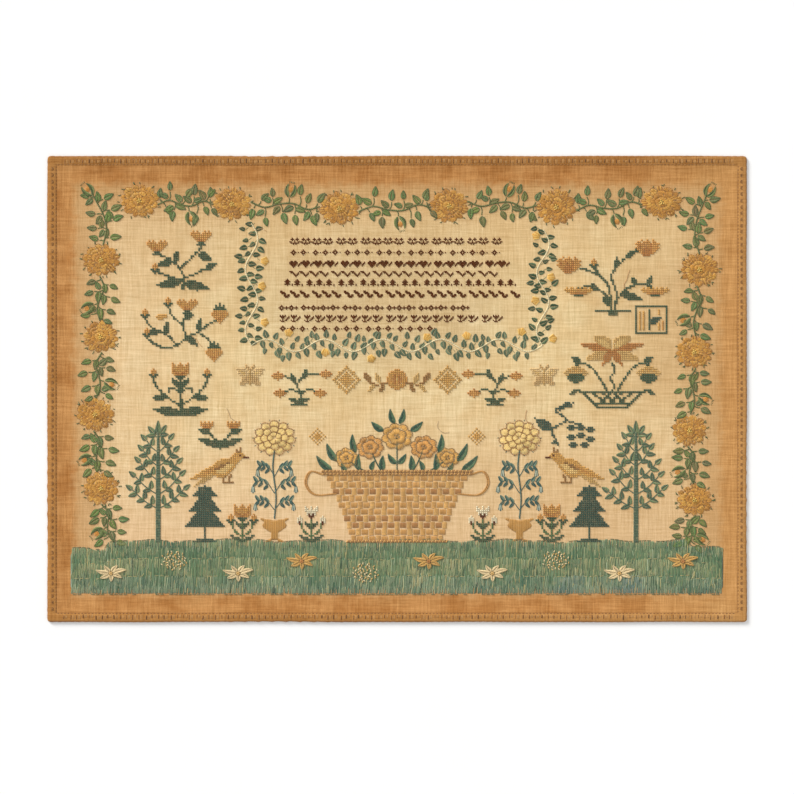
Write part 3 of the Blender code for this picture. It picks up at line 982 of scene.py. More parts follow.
# plants and creatures in mm, as marks in the order they are worked
# a colour with places is a thread path; one with two places and a breadth (w) is a leaf form, foot to tip
# a head's name and a place set that head there; a star adds the same mark on the other side
figures = {
    "carnationPlant": """
        t 0,0 2,14 -4,28 -18,40 -30,44; t -3,26 10,38 22,50 26,56; t 2,14 18,20 34,28; t 1,11 -16,16 -32,22;
        t 1.5,0 3,14; t 3,7 36,0 w13; t 0,10 -34,4 w13; t 22,46 40,36 w11; t -12,36 -34,30 w9;
        t -8,34 -6,52 w8; t 32,26 46,34 w9; carnation -32,46; carnation 26,57; tuft -36,21""",
    "berryPlant": """
        t -34,5 -20,0 -4,3 8,14 4,30 10,46; t -4,4 -18,18 -36,26 -46,40; t 8,15 24,20 40,32 52,36;
        t 4,30 -10,42 -14,52; t 24,20 36,12 44,2; t -34,5 -40,10; t 8,16 24,2 w9; t -18,18 -16,36 w8;
        t -26,22 -46,18 w8; t 24,22 28,40 w8; t 6,38 20,44 w8; y -30,40 -14,42 w8; tuft -46,38; berry 52,32;
        carnation 10,45; tuft -15,52; berry 45,-18; tuft -42,12""",
    "tulipPlant": """
        t 0,0 0,46; t 0,12 18,24 32,38 34,48 *; t 1.5,0 1.5,20; t 0,30 12,36 16,30 *; t 0,2 36,8 w12 *;
        t 18,24 38,22 w9 *; t 0,34 13,50 w7 *; tulip 0,47; tuft 35,47 *""",
    "potPlant": """
        t -22,6 22,6; t -6,0 6,0; t -6,2.5 6,2.5; t -3,4 -4,28 -10,44 -28,56 -46,62;
        t 3,4 4,30 -2,50 8,66 22,78 34,84; t -7,42 -18,52 -24,62; t -3,20 -16,31 -32,37 -45,34;
        t 3,18 16,32 32,40 46,38 53,34; t 12,27 38,20 w11; t -4,12 -15,26 w8; t 30,38 23,51 w7;
        t 44,38 51,51 w7; t -20,31 -29,43 w7; t 16,74 33,86 w8; t 3,60 6,77 w7; pink 45,78; pink -57,56;
        tuft -25,61; fan -45,24; fan 54,24""",
    "lilyBowl": """
        t -40,20 40,20; t -38,20 -18,0 *; t -23,4 23,4; t -18,-1 18,-1; t -26,20 -8,4; t -13,20 5,4;
        t 0,20 18,4; t 26,20 8,4; t 13,20 -5,4; t 0,20 -18,4; t -40,20 -46,23 -52,21 *;
        t 0,20 3,29 -3,38 3,47 0,58; t -6,20 -16,38 -28,53 -40,58 -48,54 *; t -42,58 -54,67 w8 *;
        t -46,22 -57,16 w6 *; n -2,76 -25,95 w19 *; n 0,73 -35,63 w16 *; r -9,76 -45,84 w9 *;
        r 0,74 -12,77 w3 *; p -4,79 -19,90 w8 *; r -1,74 -13,54 w10 *; acorn -48,32 *""",
    "squareSprig": """
        y -15,5 -15,28; y -10,5 -10,28; y 10,5 10,12; o 15,5 15,15; y 10,25 10,29; t -2,5 -2,29; t -21,0 21,0;
        t -21,34 21,34; t -21,0 -21,34 *; d -2,14 14,21 w10""",
    "grapeBranch": """
        d 14,34 -2,30 -7,24 2,17 7,12; d 13,31.5 0,27.5 -4,23; d 7,12 -6,5 -16,-1; d -14,0 -10,-10 -5,-19;
        d 7,12 15,9 24,8; d -7,-15 -13,-18; d -14,0 -35,15 w13; d 12,33 0,30 w8; grape 12,-1; grape 26,1;
        grape 38,-3; grape 12,-12; grape 26,-10; grape 38,-14; grape 16,-23; grape 30,-22""",
    "sprig": """
        t 0,0 2,12 -2,24 6,34 20,38 33,38; t -2,24 -12,32 -24,36; t 2,12 -10,17 -20,14; t 2,12 14,18 24,14;
        t -9,-2.5 9,-2.5; t 4,31 12,46 w7; t 0,1 16,7 w6; t 0,1 -16,6 w6; t -6,27 -11,40 w6; diamond -28,31;
        diamond 34,32; diamond -24,7; diamond 27,7""",
    "lowFlower": """
        g 0,0 0,30; g 0,6 10,14 14,24 *; t 0,0 16,8 w6 *; t 0,16 9,27 w5 *; tulip 0,28; tuft 15,23 *""",
    "twinSprig": """
        t 0,2 9,9 17,20 *; t 0,-6 0,4; t 0,-1 30,8 w9 *; t 14,14 32,22 w6 *; frill 18,20 *""",
    "bird": """
        b 2,12 0,0 6,0; b 11,12 11,0 17,0; k 34,43 41,40; b 24,48 22,54; b 27,48 28,55; n -6,22 -50,-8 w10;
        y -4,26 -56,4 w13; y -18,15 27,38 w28; y 12,38 37,45 w16; p -10,17 18,29 w13; b -14,20 12,33 w5;
        o -8,27 -40,8 w4; eye 29,43""",
    "butterfly": """
        n 0,-10 0,9; e 0,9 5,15 *; f 1,0 19,12 w11 *; e 1,-1 14,-11 w9 *; p 6,3 14,8 w4 *""",
    "rosetteSpray": """
        b -42,4 -30,-4 -12,-2 0,-8 12,-2 30,-4 42,4; b -34,0 -44,12 w7 *; n -22,-3 -28,12 w7 *;
        n -30,-4 -38,-14 w6 *; b -16,-3 -24,-15 w6 *; rosette 0,-10""",
}
figures["creamLily"] = figures["lowFlower"].replace("tulip 0,28; tuft 15,23", "lily 0,30; lilyBud 15,22")
figureSize = {"bird": 0.8}


def readFigure(text):
    # each mark as its colour or head, its places, and its breadth, which is 0 for a path or a head
    for mark in text.split(";"):
        first, *words = mark.split()
        places = [tuple(map(float, word.split(","))) for word in words if "," in word]
        breadth = sum(float(word[1:]) for word in words if word[0] == "w")
        yield first, places, breadth
        if words[-1] == "*":
            yield first, [(-x, y) for x, y in places], breadth


def leafCells(foot, reach, breadth):
    # the cells inside a leaf form, all in cells
    length = np.hypot(*reach)
    low, high = np.minimum(foot, foot + reach) - breadth, np.maximum(foot, foot + reach) + breadth
    for column in range(int(low[0]), int(high[0]) + 2):
        for row in range(int(low[1]), int(high[1]) + 2):
            dx, dy = column - foot[0], row - foot[1]
            along = (dx * reach[0] + dy * reach[1]) / length ** 2
            across = abs(dx * reach[1] - dy * reach[0]) / length
            if -0.02 <= along <= 1.0:
                if across <= breadth / 2 * math.sin(math.pi * (0.06 + 0.94 * along) ** 0.8):
                    yield column, row


def figureCells(name, facing, pitch):
    cells = {}
    pitch /= figureSize.get(name, 1.0)
    for first, places, breadth in readFigure(figures[name]):
        places = [(facing * x, y) for x, y in places]
        if first in heads:
            middle, foot = round(places[0][0] / pitch), round(places[0][1] / pitch)
            for (column, row), key in readChart(heads[first]).items():
                cells[(middle + column * facing, foot + row)] = key
        elif breadth:
            foot, tip = np.array(places) / pitch
            cells.update({cell: first for cell in leafCells(foot, tip - foot, breadth / pitch)})
        else:
            line = smoothLine(places, pitch * 0.6) if len(places) > 2 else np.linspace(*places, 60)
            cells.update({(round(x / pitch), round(y / pitch)): first for x, y in line})
    return cells


def starCells(reach):
    # an eight-pointed star of faded silk with a darker cross
    cells = {}
    for column in range(-reach, reach + 1):
        for row in range(-reach, reach + 1):
            far, total = max(abs(column), abs(row)), abs(column) + abs(row)
            if (far <= reach * 0.66 or total <= reach) and total != round(reach * 0.66):
                cells[(column, row)] = "y" if abs(column) == abs(row) or column == 0 or row == 0 else "n"
    return cells


def topiaryCells():
    # a clipped tree in three tiers on a short trunk with a foot
    cells = {(column, row): "d" for row, half in ((0, 6), (1, 4)) for column in range(-half, half + 1)}
    cells.update({(0, row): "d" for row in range(2, 8)})
    for row in range(22):
        half = round((9.5, 7.6, 5.6)[min(2, row // 8)] - (row % 8) * 0.72) if row < 21 else 0
        for column in range(-half, half + 1):
            cells[(column, row + 8)] = "d"
    return cells


# where the counted motifs stand: name, middle x, foot y, in mm, and which way each faces
motifs = {
    "pitch": 2.5,
    "countedPlants": (
        ("carnationPlant", -281, 131, 1), ("berryPlant", -284, 54, 1), ("tulipPlant", -283, -34, 1),
        ("potPlant", 282, 97, 1), ("squareSprig", 332, 73, 1), ("lilyBowl", 281, -24, 1),
        ("grapeBranch", 215, -53, 1), ("sprig", -128, -18, 1), ("sprig", 128, -18, -1),
        ("lowFlower", -202, -199, 1), ("lowFlower", 202, -199, -1), ("twinSprig", -231, -73, 1),
        ("creamLily", -112, -199, 1), ("creamLily", 112, -199, -1)),
    "countedMotifs": (
        ("bird", -227, -122, 1), ("bird", 227, -122, -1), ("butterfly", -192, 16, 1),
        ("butterfly", 192, 16, 1), ("rosetteSpray", 0, 10, 1)),
    "stars": ((-66, 12, 7), (66, 12, 7), (-104, -62, 4), (104, -62, 4)),
    "topiary": ((-251, -199), (251, -199)),
}


def sewMotifs():
    pitch = motifs["pitch"]
    for piece in ("countedPlants", "countedMotifs"):
        for name, x, y, facing in motifs[piece]:
            crossStitch(piece, figureCells(name, facing, pitch), x, y, pitch)
    for x, y, reach in motifs["stars"]:
        crossStitch("countedMotifs", starCells(reach), x, y, pitch)
    for x, y in motifs["topiary"]:
        crossStitch("topiary", topiaryCells(), x, y, pitch)


# the flower basket in the middle, in mm
# ropes: rim or foot, how far above it, and how much longer on each side; blooms: x, y, radius, colour
# leaves: foot, tip and breadth, each worked on both sides
basket = {
    "x": 0.0, "foot": -200.0, "rim": -112.0, "footHalf": 60.0, "rimHalf": 94.0, "block": 8.8, "thread": 1.5,
    "ochres": ((210, 160, 90), (200, 148, 78), (218, 170, 98), (206, 154, 84)), "line": (166, 118, 62),
    "stripe": (178, 126, 68), "stripeRows": (2, 3, 7), "handle": (196, 144, 76), "handleWidth": 1.9,
    "ropes": (("rim", 1.0, 4.0), ("rim", 4.6, 5.0), ("foot", 1.0, 6.0)), "ropeWidth": 1.9,
    "handlePath": ((95, -112), (112, -108), (118, -124), (106, -138), (79, -137)),
    "leafDark": (56, 88, 68), "leafPale": (92, 122, 88),
    "leaves": (
        (-84, -107, -106, -86, 10), (-50, -107, -50, -84, 9), (-78, -95, -92, -70, 10),
        (-54, -84, -58, -58, 9), (-18, -107, -18, -86, 9), (-17, -55, -34, -42, 9), (-1, -98, -12, -84, 8),
        (-3, -46, -9, -25, 8), (-34, -107, -29, -93, 7), (-66, -108, -73, -96, 7)),
    "blooms": (
        (-66, -90, 19, "y"), (-35, -76, 22, "o"), (0, -62, 25, "y"), (35, -76, 22, "o"), (66, -90, 19, "y")),
    "bloomScale": 0.82, "bloomRings": ((1.0, 0.58, 8, 0.0), (0.62, 0.16, 5, 0.3)), "bloomSquash": 0.86,
}


def sewBasket():
    # plaited work: blocks of upright and level satin stitches take turns
    b, piece = basket, "flowerBasket"
    dyes = [tone(*c) for c in b["ochres"]]
    line, stripe, handle = tones(b, "line", "stripe", "handle")
    rows = round((b["rim"] - b["foot"]) / b["block"])
    tall = (b["rim"] - b["foot"]) / rows
    for row in range(rows):
        y0 = b["foot"] + row * tall
        half = b["footHalf"] + (b["rimHalf"] - b["footHalf"]) * ((row + 0.5) / rows) ** 1.25
        blocks = 2 * round(half / b["block"]) + 1
        wide = 2 * half / blocks
        count = round(tall / b["thread"] * 1.05)
        for k in range(blocks):
            x0 = b["x"] - half + k * wide
            upright = (k + row) % 2
            dye = stripe if row in b["stripeRows"] and upright else dyes[(k * 7 + row * 3) % len(dyes)]
            for j in range(count):
                at = (j + 0.5) / count
                if upright:
                    places = (x0 + wide * at, y0 + 0.2, x0 + wide * at, y0 + tall - 0.2)
                else:
                    places = (x0 + 0.2, y0 + tall * at, x0 + wide - 0.2, y0 + tall * at)
                sew(piece, *places, b["thread"], shade(dye))
    for level, above, longer in b["ropes"]:  # the rim and foot are laid ropes
        y, half = b[level] + above, b[level + "Half"] + longer
        count = round(2 * half / 2.4)
        for k in range(count):
            x = b["x"] - half + (k + 0.5) * 2 * half / count
            dye = shade(line if k % 2 else dyes[0])
            sew(piece, x - 1.3, y - 2.0, x + 1.3, y + 2.0, b["ropeWidth"], dye, lift=0.5)
    for side in (-1, 1):  # two looped handles of two cords each
        for shift in (0, 2.0):
            path = [(b["x"] + side * x + side * shift, y) for x, y in b["handlePath"]]
            sewStem(piece, path, b["handleWidth"], handle, 3.0)


def sewBloom(piece, x, y, radius, key):
    # a round flower with outlined petals in three strengths of one dye, and a heart of small knots
    squash = basket["bloomSquash"]
    *dyes, dark = (tone(*[min(255, part * amount) for part in palette[key]])
                   for amount in (1, 1.08, 0.92, 0.66))
    turn = chance.uniform(0, 1)
    for reach, foot, petals, lift in basket["bloomRings"]:
        for k in range(petals):
            start, finish = turn + k * math.tau / petals, turn + (k + 1) * math.tau / petals
            sewFan(piece, x, y, radius * foot, radius * reach, start + 0.04, finish - 0.04,
                   [dyes[k % 3], dyes[(k + 1) % 3]], 1.45, squash, lift, 0.5)
            sewArc(piece, x, y, radius * reach * 1.01, start, finish, dark, 0.9, squash, lift + 0.35)
        turn += 0.5
    for k, cx, cy in spiral(x, y, 13, 1.05, 1.0, squash):
        dye = shade(dark if k % 2 else dyes[1])
        sew(piece, cx - 0.7, cy - 0.3, cx + 0.7, cy + 0.3, 1.2, dye, height=1.0, lift=0.7)


def sewBasketFlowers():
    b, piece = basket, "basketFlowers"
    dark, pale = tones(b, "leafDark", "leafPale")
    for x, y, radius, key in b["blooms"]:
        sewStem(piece, ((x * 0.55, b["rim"] + 2), (x * 0.8, (y + b["rim"]) / 2), (x, y)), 1.6, dark)
    for x0, y0, x1, y1, breadth in b["leaves"]:
        for side in (1, -1):
            sewLeaf(piece, x0 * side, y0, x1 * side + 0.01, y1, breadth, dark, pale, 1.2, 0.08 * side)
    for x, y, radius, key in b["blooms"]:
        sewBloom(piece, x, y, radius * b["bloomScale"], key)


# leafy trees: middle x, foot y and height in mm
trees = {
    "places": ((-312, -200, 160), (312, -200, 160)), "trunkLines": (-2.2, -0.7, 0.8, 2.3), "branches": 6,
    "firstBranch": 0.27, "branchSpan": 0.58, "lean": 36, "topLean": 18, "leanSpread": 5,
    "trunk": (86, 105, 80), "leafDark": (88, 108, 80), "leafPale": (118, 136, 94),
    "leafShort": 11.0, "leafLong": 14.0, "leafBreadth": 7.0, "leafGap": 16.0, "tipLeaf": 12, "leafFan": 0.95,
}


def sewTree(x, y, tall):
    trunk, dark, pale = tones(trees, "trunk", "leafDark", "leafPale")

    def leaf(x0, y0, x1, y1, inner=pale):
        sewLeaf("leafyTrees", x0, y0, x1, y1, trees["leafBreadth"], dark, inner, 1.3, rib=False)

    for shift in trees["trunkLines"]:
        line = ((x + shift, y), (x + shift * 0.9, y + tall * 0.45), (x + shift * 0.25, y + tall * 0.9))
        sewStem("leafyTrees", line, 1.9, trunk, 3.4)
    for k in range(trees["branches"]):
        share = k / (trees["branches"] - 1)
        foot = y + tall * (trees["firstBranch"] + trees["branchSpan"] * share)
        reach = tall * (0.205 * (1 - share) ** 0.6 + 0.055)
        for side in (-1, 1):
            spread = chance.uniform(-trees["leanSpread"], trees["leanSpread"])
            lean = math.radians(trees["lean"] + trees["topLean"] * share + spread)
            dx, dy = side * math.cos(lean), math.sin(lean)
            tip = (x + dx * reach, foot + dy * reach)
            branch = ((x, foot), (x + dx * reach * 0.5 + side, foot + dy * reach * 0.42), tip)
            sewStem("leafyTrees", branch, 1.4, trunk)
            pairs = max(1, round(reach / trees["leafGap"]))
            for j in range(pairs):
                at = reach * (j + 0.75) / (pairs + 0.35)
                bx, by = x + dx * at, foot + dy * at
                for fan in (-trees["leafFan"], trees["leafFan"]):
                    lx, ly = turned((dx, dy), fan)
                    size = chance.uniform(trees["leafShort"], trees["leafLong"])
                    leaf(bx, by, bx + lx * size, by + ly * size, pale if chance.random() < 0.5 else dark)
            leaf(*tip, tip[0] + dx * trees["tipLeaf"], tip[1] + dy * trees["tipLeaf"])
    leaf(x, y + tall * 0.88, x, y + tall)


# urns that each hold a tall plant with one big bloom, in mm
# outline: height and half width; twigs: height of the foot, reach and rise; rings: edge, foot, petals, lift
urns = {
    "places": (-160, 160), "foot": -200.0, "bloomY": -64.0,
    "outline": ((0, 13), (3, 10), (6, 4), (10, 4), (13, 9), (17, 14), (22, 16), (26, 14), (29, 18), (32, 18)),
    "threadsAcross": 24, "threadGap": 0.78, "twigs": ((48, 25, 8), (70, 28, 12), (92, 22, 10)),
    "rings": ((27, 16, 11, 0.0), (18.5, 8, 8, 0.2), (10, 1.5, 5, 0.4)), "squash": 0.84,
    "rays": 14, "rayFrom": 26.4, "rayTo": 29.5,
    "ochre": (208, 158, 84), "ochreDark": (180, 126, 56), "leafDark": (66, 96, 86),
    "leafPale": (112, 140, 120), "petal": (244, 214, 142), "petalPale": (240, 202, 122),
    "petalDark": (168, 118, 58), "bell": (214, 222, 198),
}


def sewUrnPlant(x):
    u, piece = urns, "urnPlants"
    ochre, ochreDark, dark, pale, bell = tones(u, "ochre", "ochreDark", "leafDark", "leafPale", "bell")
    foot, fy, squash = u["foot"], u["bloomY"], u["squash"]
    # the urn: upright satin stitches between foot and lip
    heights, halves = zip(*u["outline"])
    for k in range(-u["threadsAcross"], u["threadsAcross"] + 1):
        offset = k * u["threadGap"]
        spans = [h for h in np.arange(0, heights[-1], 0.5) if np.interp(h, heights, halves) >= abs(offset)]
        runs = np.split(spans, np.where(np.diff(spans) > 0.6)[0] + 1) if len(spans) else []
        for run in runs:
            if len(run) > 2:
                sew(piece, x + offset, foot + run[0], x + offset, foot + run[-1], 1.0,
                    shade(ochre if k % 3 else ochreDark), height=0.7)
    stem = ((x, foot + 31), (x + 2, foot + 60), (x - 2, foot + 96), (x, fy - 16))
    sewStem(piece, stem, 1.9, dark, 3.2)
    # arching twigs with leaf pairs and hanging bells
    for side in (-1, 1):
        for above, reach, rise in u["twigs"]:
            y0 = foot + above
            tip = (x + side * reach, y0 + rise * 0.3)
            sewStem(piece, ((x, y0 - 6), (x + side * reach * 0.5, y0 + rise), tip), 1.1, dark)
            for share in (0.3, 0.55, 0.8):
                bx = x + side * reach * share
                by = y0 + rise * (1.25 * share if share < 0.6 else 1.1 - share * 0.5)
                sewLeaf(piece, bx, by, bx + side * 6, by + 9, 4.6, dark, pale, rib=False)
                sewLeaf(piece, bx, by, bx + side * 7, by - 7, 4.2, dark, dark, rib=False)
            for k in range(5):
                t = (k - 2) * 1.3
                sew(piece, tip[0] + t * 0.3, tip[1], tip[0] + t, tip[1] - 11 + abs(t) * 0.7, 1.25,
                    shade(bell if k in (1, 3) else dark))
    # a large round flower with outlined petals and a ring of short green rays
    petal, petalPale, outline = tones(u, "petal", "petalPale", "petalDark")
    for reach, inner, petals, lift in u["rings"]:
        for k in range(petals):
            start, finish = k * math.tau / petals + reach, (k + 1) * math.tau / petals + reach
            sewFan(piece, x, fy, inner, reach, start + 0.05, finish - 0.05, [petal, petalPale], 1.4,
                   squash, lift, 0.42)
            sewArc(piece, x, fy, reach * 1.02, start, finish, outline, 1.0, squash, lift + 0.35)
            sew(piece, *polar(x, fy, inner, start, squash), *polar(x, fy, reach * 0.84, start, squash), 0.9,
                shade(outline), lift=lift + 0.35)
    for k in range(u["rays"]):
        angle = k * math.tau / u["rays"]
        sew(piece, *polar(x, fy, u["rayFrom"], angle, squash), *polar(x, fy, u["rayTo"], angle, squash), 0.9,
            shade(dark))


# the green ground along the foot, in mm; rows from the top down, each a deep and a light green
ground = {
    "left": -425.0, "right": 424.5, "foot": -267.5, "top": -198.5, "thread": 1.3, "spacing": 1.15,
    "wave": 1.3, "stepIn": 48.0, "stepDown": 9.0, "scratches": 480, "padSpacing": 4.2, "padWidth": 6.6,
    "rows": (
        ((82, 112, 80), (136, 152, 108)), ((94, 122, 86), (160, 162, 114)), ((84, 115, 86), (146, 158, 122))),
    "streaks": ((184, 184, 138), (62, 86, 60), (182, 168, 110), (166, 178, 142), (74, 94, 64)),
    "streakShare": 0.22, "slant": (-0.3, 1.7), "blue": (112, 138, 142), "blueFrom": 90, "overlap": 2.6,
    "line": (170, 158, 104), "lineStep": 7, "topLine": (96, 104, 66), "topLineStep": 6,
}
# star flowers and seed bushes in the ground; wings are the tips of a flower's long petals from its middle
groundFlowers = {
    "count": 10, "every": 83.0, "y": -233.0, "shift": 8, "seeds": 50, "seedLength": 3.5, "seedWidth": 1.35,
    "seedSpread": 2.25, "cream": (233, 208, 158), "ochre": (212, 166, 90), "petalBreadth": 6.4,
    "wings": ((21, 5), (-21, 5), (15, -6), (-15, -6), (9, 11), (-9, 11), (0, -11)),
}


def groundTop(x):
    edge = min(x - ground["left"], ground["right"] - x)
    hills = ground["wave"] * (math.sin(x / 19) + 0.7 * math.sin(x / 7.3 + 1) + 0.5 * math.sin(x / 47))
    step = ground["stepDown"] * max(0.0, min(1.0, (ground["stepIn"] - edge) / 6))
    return ground["top"] + hills - step


def groundPatch(x, y):
    # slow patches of darker and lighter green, from 0 to 1
    wander = math.sin(x / 37 + 0.9 * math.sin(y / 11)) + 0.8 * math.sin(x / 15.3 + y / 9 + 2.0)
    return 0.5 + 0.19 * wander + 0.12 * math.sin(x / 6.1 + 3 * math.sin(y / 17))


def sewGround():
    # three rows of long upright stitches with ragged ends, and couched lines between them
    g, piece = ground, "greenGround"
    left, foot, wide = g["left"], g["foot"], g["right"] - g["left"]
    count, rows, pads = round(wide / g["spacing"]), len(g["rows"]), round(wide / g["padSpacing"])
    greens = [[tone(*c) for c in pair] for pair in g["rows"][::-1]]
    streaks = [tone(*c) for c in g["streaks"]]
    blue, line, topLine = tones(g, "blue", "line", "topLine")

    def blend(first, second, share):
        return tuple(a + (b - a) * share for a, b in zip(first, second))

    def greenAt(x, y, row, loose):
        zone = min(1.15, max(-0.2, groundPatch(x, y) + chance.uniform(-loose, loose)))
        dye = blend(*greens[row], zone)
        if row == 0 and x > g["blueFrom"]:  # a few bluish patches in the lowest row
            share = 0.55 * max(0.0, math.sin(x / 21) * math.sin(x / 49 + 1) + chance.uniform(-0.2, 0.2))
            dye = blend(dye, blue, share)
        if chance.random() < g["streakShare"]:
            dye = blend(dye, streaks[chance.randrange(len(streaks))], chance.uniform(0.3, 0.9))
        return dye

    for k in range(pads):  # flat padding under the rows, so no linen shows between them
        x = left + (k + 0.5) * wide / pads
        sew(piece, x, foot + 0.5, x, groundTop(x) - 1.0, g["padWidth"], shade(greens[1][0], 0.06), height=0.5)
    for row in range(rows):
        footLoose, topLoose = 1.0 if row else 0.2, 1.6 if row < rows - 1 else 0.7
        for k in range(count):
            x = left + (k + 0.5) * wide / count
            rise = (groundTop(x) - foot) / rows
            y0 = foot + rise * row + chance.uniform(-1.6, 1.0) * footLoose
            y1 = foot + rise * (row + 1) + chance.uniform(-0.6, 1.4) * topLoose
            split = y0 + (y1 - y0) * chance.uniform(0.25, 0.75)
            lean, slope = chance.uniform(-0.7, 0.7), chance.uniform(*g["slant"])
            width = g["thread"] * chance.uniform(0.85, 1.15)
            sew(piece, x - slope, y0 - 1.0, x + lean, split + g["overlap"], width,
                shade(greenAt(x, y0, row, 0.34), 0.10), height=0.85)
            sew(piece, x + lean, split - g["overlap"], x + slope, y1 + 1.0, width,
                shade(greenAt(x, y1, row, 0.34), 0.10), height=0.85, lift=chance.uniform(0, 0.2))
        for k in range(round(wide / g["lineStep"]) if row else 0):
            x = left + 3 + k * g["lineStep"]
            y = foot + (groundTop(x) - foot) * row / rows
            if chance.random() < 0.6:
                sew(piece, x, y, x + 6.4, y + chance.uniform(-0.7, 0.7), 0.8, shade(line), lift=0.5)
    step = g["topLineStep"]
    for k in range(round(wide / step) - 1):  # thin lines along the top edge and the foot
        x = left + 1 + k * step
        if chance.random() < 0.85:
            y0, y1 = groundTop(x) + 0.6, groundTop(x + step) + 0.6
            sew(piece, x, y0, x + step, y1, 0.9, shade(topLine, 0.2), lift=0.4)
        if chance.random() < 0.7:
            sew(piece, x, foot - 0.9, x + step, foot - 0.9, 0.8, shade(topLine, 0.2), lift=0.3)
    for k in range(g["scratches"]):  # worn threads that cross their neighbours
        x = chance.uniform(left + 3, g["right"] - 3)
        y = chance.uniform(foot + 2, groundTop(x) - 12)
        lean = chance.uniform(-1.8, 2.6)
        dye = streaks[chance.randrange(len(streaks))] if chance.random() < 0.6 else greenAt(x, y, 1, 0.6)
        sew(piece, x, y, x + lean, y + chance.uniform(5, 11), 0.7, shade(dye, 0.15), height=0.6, lift=0.4)


def sewGroundFlowers():
    g, piece = groundFlowers, "groundFlowers"
    cream, ochre = tones(g, "cream", "ochre")
    gold, rust = dyeOf["n"], dyeOf["r"]
    for k in range(g["count"]):
        x = (k - (g["count"] - 1) / 2) * g["every"]
        y = g["y"] + (g["shift"] if k % 2 else -g["shift"])
        if k % 3 == 1:  # a small gold bush of seed stitches
            for j, sx, sy in spiral(x, y, g["seeds"], g["seedSpread"], 1.1, 0.8):
                tip = polar(sx, sy, g["seedLength"], chance.uniform(0.4, 2.7))
                sew(piece, sx, sy, *tip, g["seedWidth"], shade((cream, gold, cream, ochre)[j % 4]), lift=0.8)
            continue
        petal, heart = (ochre, rust) if k % 2 else (cream, gold)
        for wx, wy in g["wings"]:
            sewLeaf(piece, x + wx * 0.12, y + wy * 0.15, x + wx, y + wy, g["petalBreadth"], petal,
                    shade(petal), thread=1.35, bend=0.06, rib=False, lift=0.9)
        for j in range(6):
            sew(piece, x, y, *polar(x, y, 3, j * math.tau / 6), 1.8, shade(heart), lift=1.5)


# worn thread ends that lie loose on the linen, clear of the middle panel, in mm
looseEnds = {
    "count": 17, "width": 0.65, "colours": ((210, 166, 112), (190, 144, 96), (206, 178, 136)),
    "spanX": 330, "spanY": (-60, 220), "panelX": 185, "panelY": 45, "bends": 4, "bendLength": 6.5,
}


def sewLooseEnds():
    e = looseEnds
    for k in range(e["count"]):
        x, y = chance.uniform(-e["spanX"], e["spanX"]), chance.uniform(*e["spanY"])
        angle, points = chance.uniform(0, math.tau), [(x, y)]
        if abs(x) < e["panelX"] and y > e["panelY"]:
            continue
        for j in range(e["bends"]):
            angle += chance.uniform(-0.9, 0.9)
            points.append(polar(*points[-1], e["bendLength"], angle))
        sewStem("looseEnds", points, e["width"], tone(*e["colours"][k % 3]), 3.2, 0.3)


# the hem's own stitches, in mm from the edge
hemSewing = {
    "pitch": 8.2, "bar": (132, 88, 44), "barPale": (198, 150, 92), "barNear": 3.6, "barFar": 10.6,
    "barWidth": 1.25, "paleGaps": (2.6, 4.2), "paleWidth": 0.85, "bracketFar": 8.0, "bracketNear": 5.6,
    "bracketRows": (-1.8, 0.0, 1.8), "bracketBack": 8.2,
    "run": (142, 96, 52), "runTop": (166, 116, 66), "runLength": 3.0, "runPitch": 4.5, "runWidth": 0.85,
    "runLong": 11.7, "runShort": 11.9, "runFrom": 13,
}


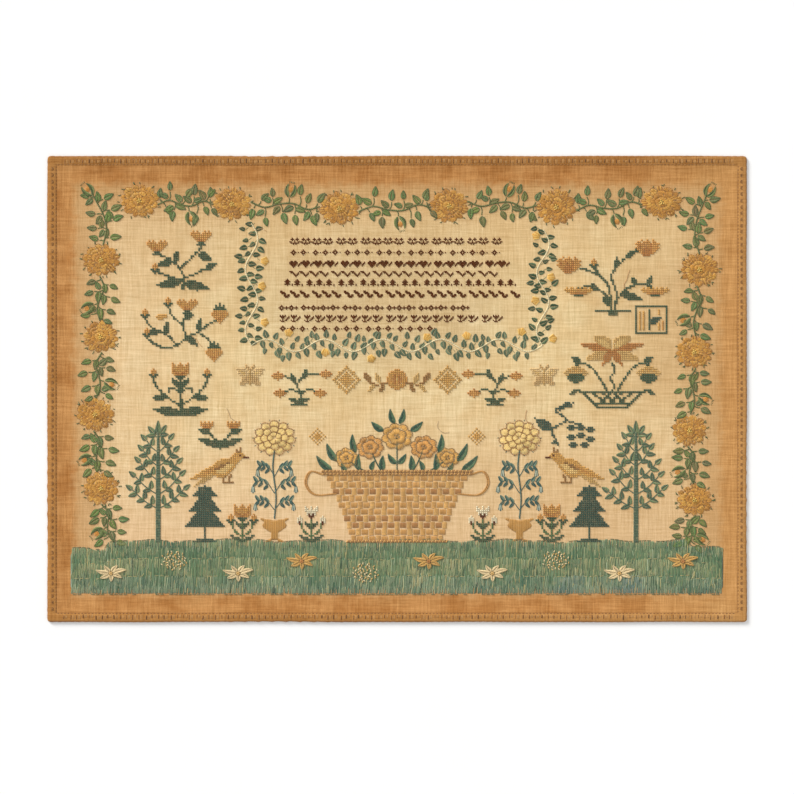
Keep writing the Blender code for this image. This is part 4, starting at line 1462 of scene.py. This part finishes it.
def sewHem():
    h, piece = hemSewing, "hemStitches"
    dark, pale, run, runTop = tones(h, "bar", "barPale", "run", "runTop")
    halfWide, halfHigh = cloth["width"] / 2, cloth["height"] / 2
    for side in (1, -1):
        bars = int((halfWide - 22) / h["pitch"])
        for k in range(-bars, bars + 1):  # thread bars across the long hems
            x = k * h["pitch"] + chance.uniform(-1.0, 1.0)
            near, far = h["barNear"] + chance.uniform(-1.0, 1.6), h["barFar"] + chance.uniform(-1.2, 0.5)
            sew(piece, x, side * (halfHigh - near), x + chance.uniform(-0.5, 0.5), side * (halfHigh - far),
                h["barWidth"] * chance.uniform(0.6, 1.3), shade(dark, 0.35))
            y0, y1 = side * (halfHigh - near - 1), side * (halfHigh - far)
            for gap in h["paleGaps"]:
                sew(piece, x + gap, y0, x + gap, y1, h["paleWidth"], shade(pale))
        brackets = int((halfHigh - 16) / h["pitch"])
        x0, x1, back = (side * (halfWide - h[key]) for key in ("bracketFar", "bracketNear", "bracketBack"))
        for k in range(-brackets, brackets + 1):  # small bracket stitches along the short hems
            y = k * h["pitch"] + chance.uniform(-0.5, 0.5)
            for dy in h["bracketRows"]:
                sew(piece, x0, y + dy, x1, y + dy, 0.8, shade(dark, 0.2))
            sew(piece, back, y - 2.2, back, y + 2.2, 0.9, shade(dark, 0.2))
        # a running line inside each hem
        y = side * (halfHigh - h["runLong"])
        for k in range(round(2 * (halfWide - h["runFrom"]) / h["runPitch"])):
            x = -halfWide + h["runFrom"] + k * h["runPitch"]
            sew(piece, x, y, x + h["runLength"], y, h["runWidth"], shade(runTop if side > 0 else run, 0.2))
        x = side * (halfWide - h["runShort"])
        for k in range(round(2 * (halfHigh - h["runFrom"]) / h["runPitch"])):
            y = -halfHigh + h["runFrom"] + k * h["runPitch"]
            sew(piece, x, y, x, y + h["runLength"], h["runWidth"], shade(run, 0.2))


makeStage()
linen = makeCloth()
linen.data.materials.append(linenMaterial())
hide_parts("sampler_cloth")
print("cloth made")

sewBorder()
sewGarland()
sewBands()
sewMotifs()
sewBasket()
sewBasketFlowers()
for treePlace in trees["places"]:
    sewTree(*treePlace)
for urnX in urns["places"]:
    sewUrnPlant(urnX)
sewGround()
sewGroundFlowers()
sewHem()
sewLooseEnds()
print("stitches laid out")

kinds = {name: threadMaterial(name, **look) for name, look in threadKinds.items()}
worked = [joinStitches(piece, kinds[threadOf.get(piece, "flossSilk")]) for piece in sewn]
for piece in [linen, *worked]:
    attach(piece, "root")

print("pieces joined")
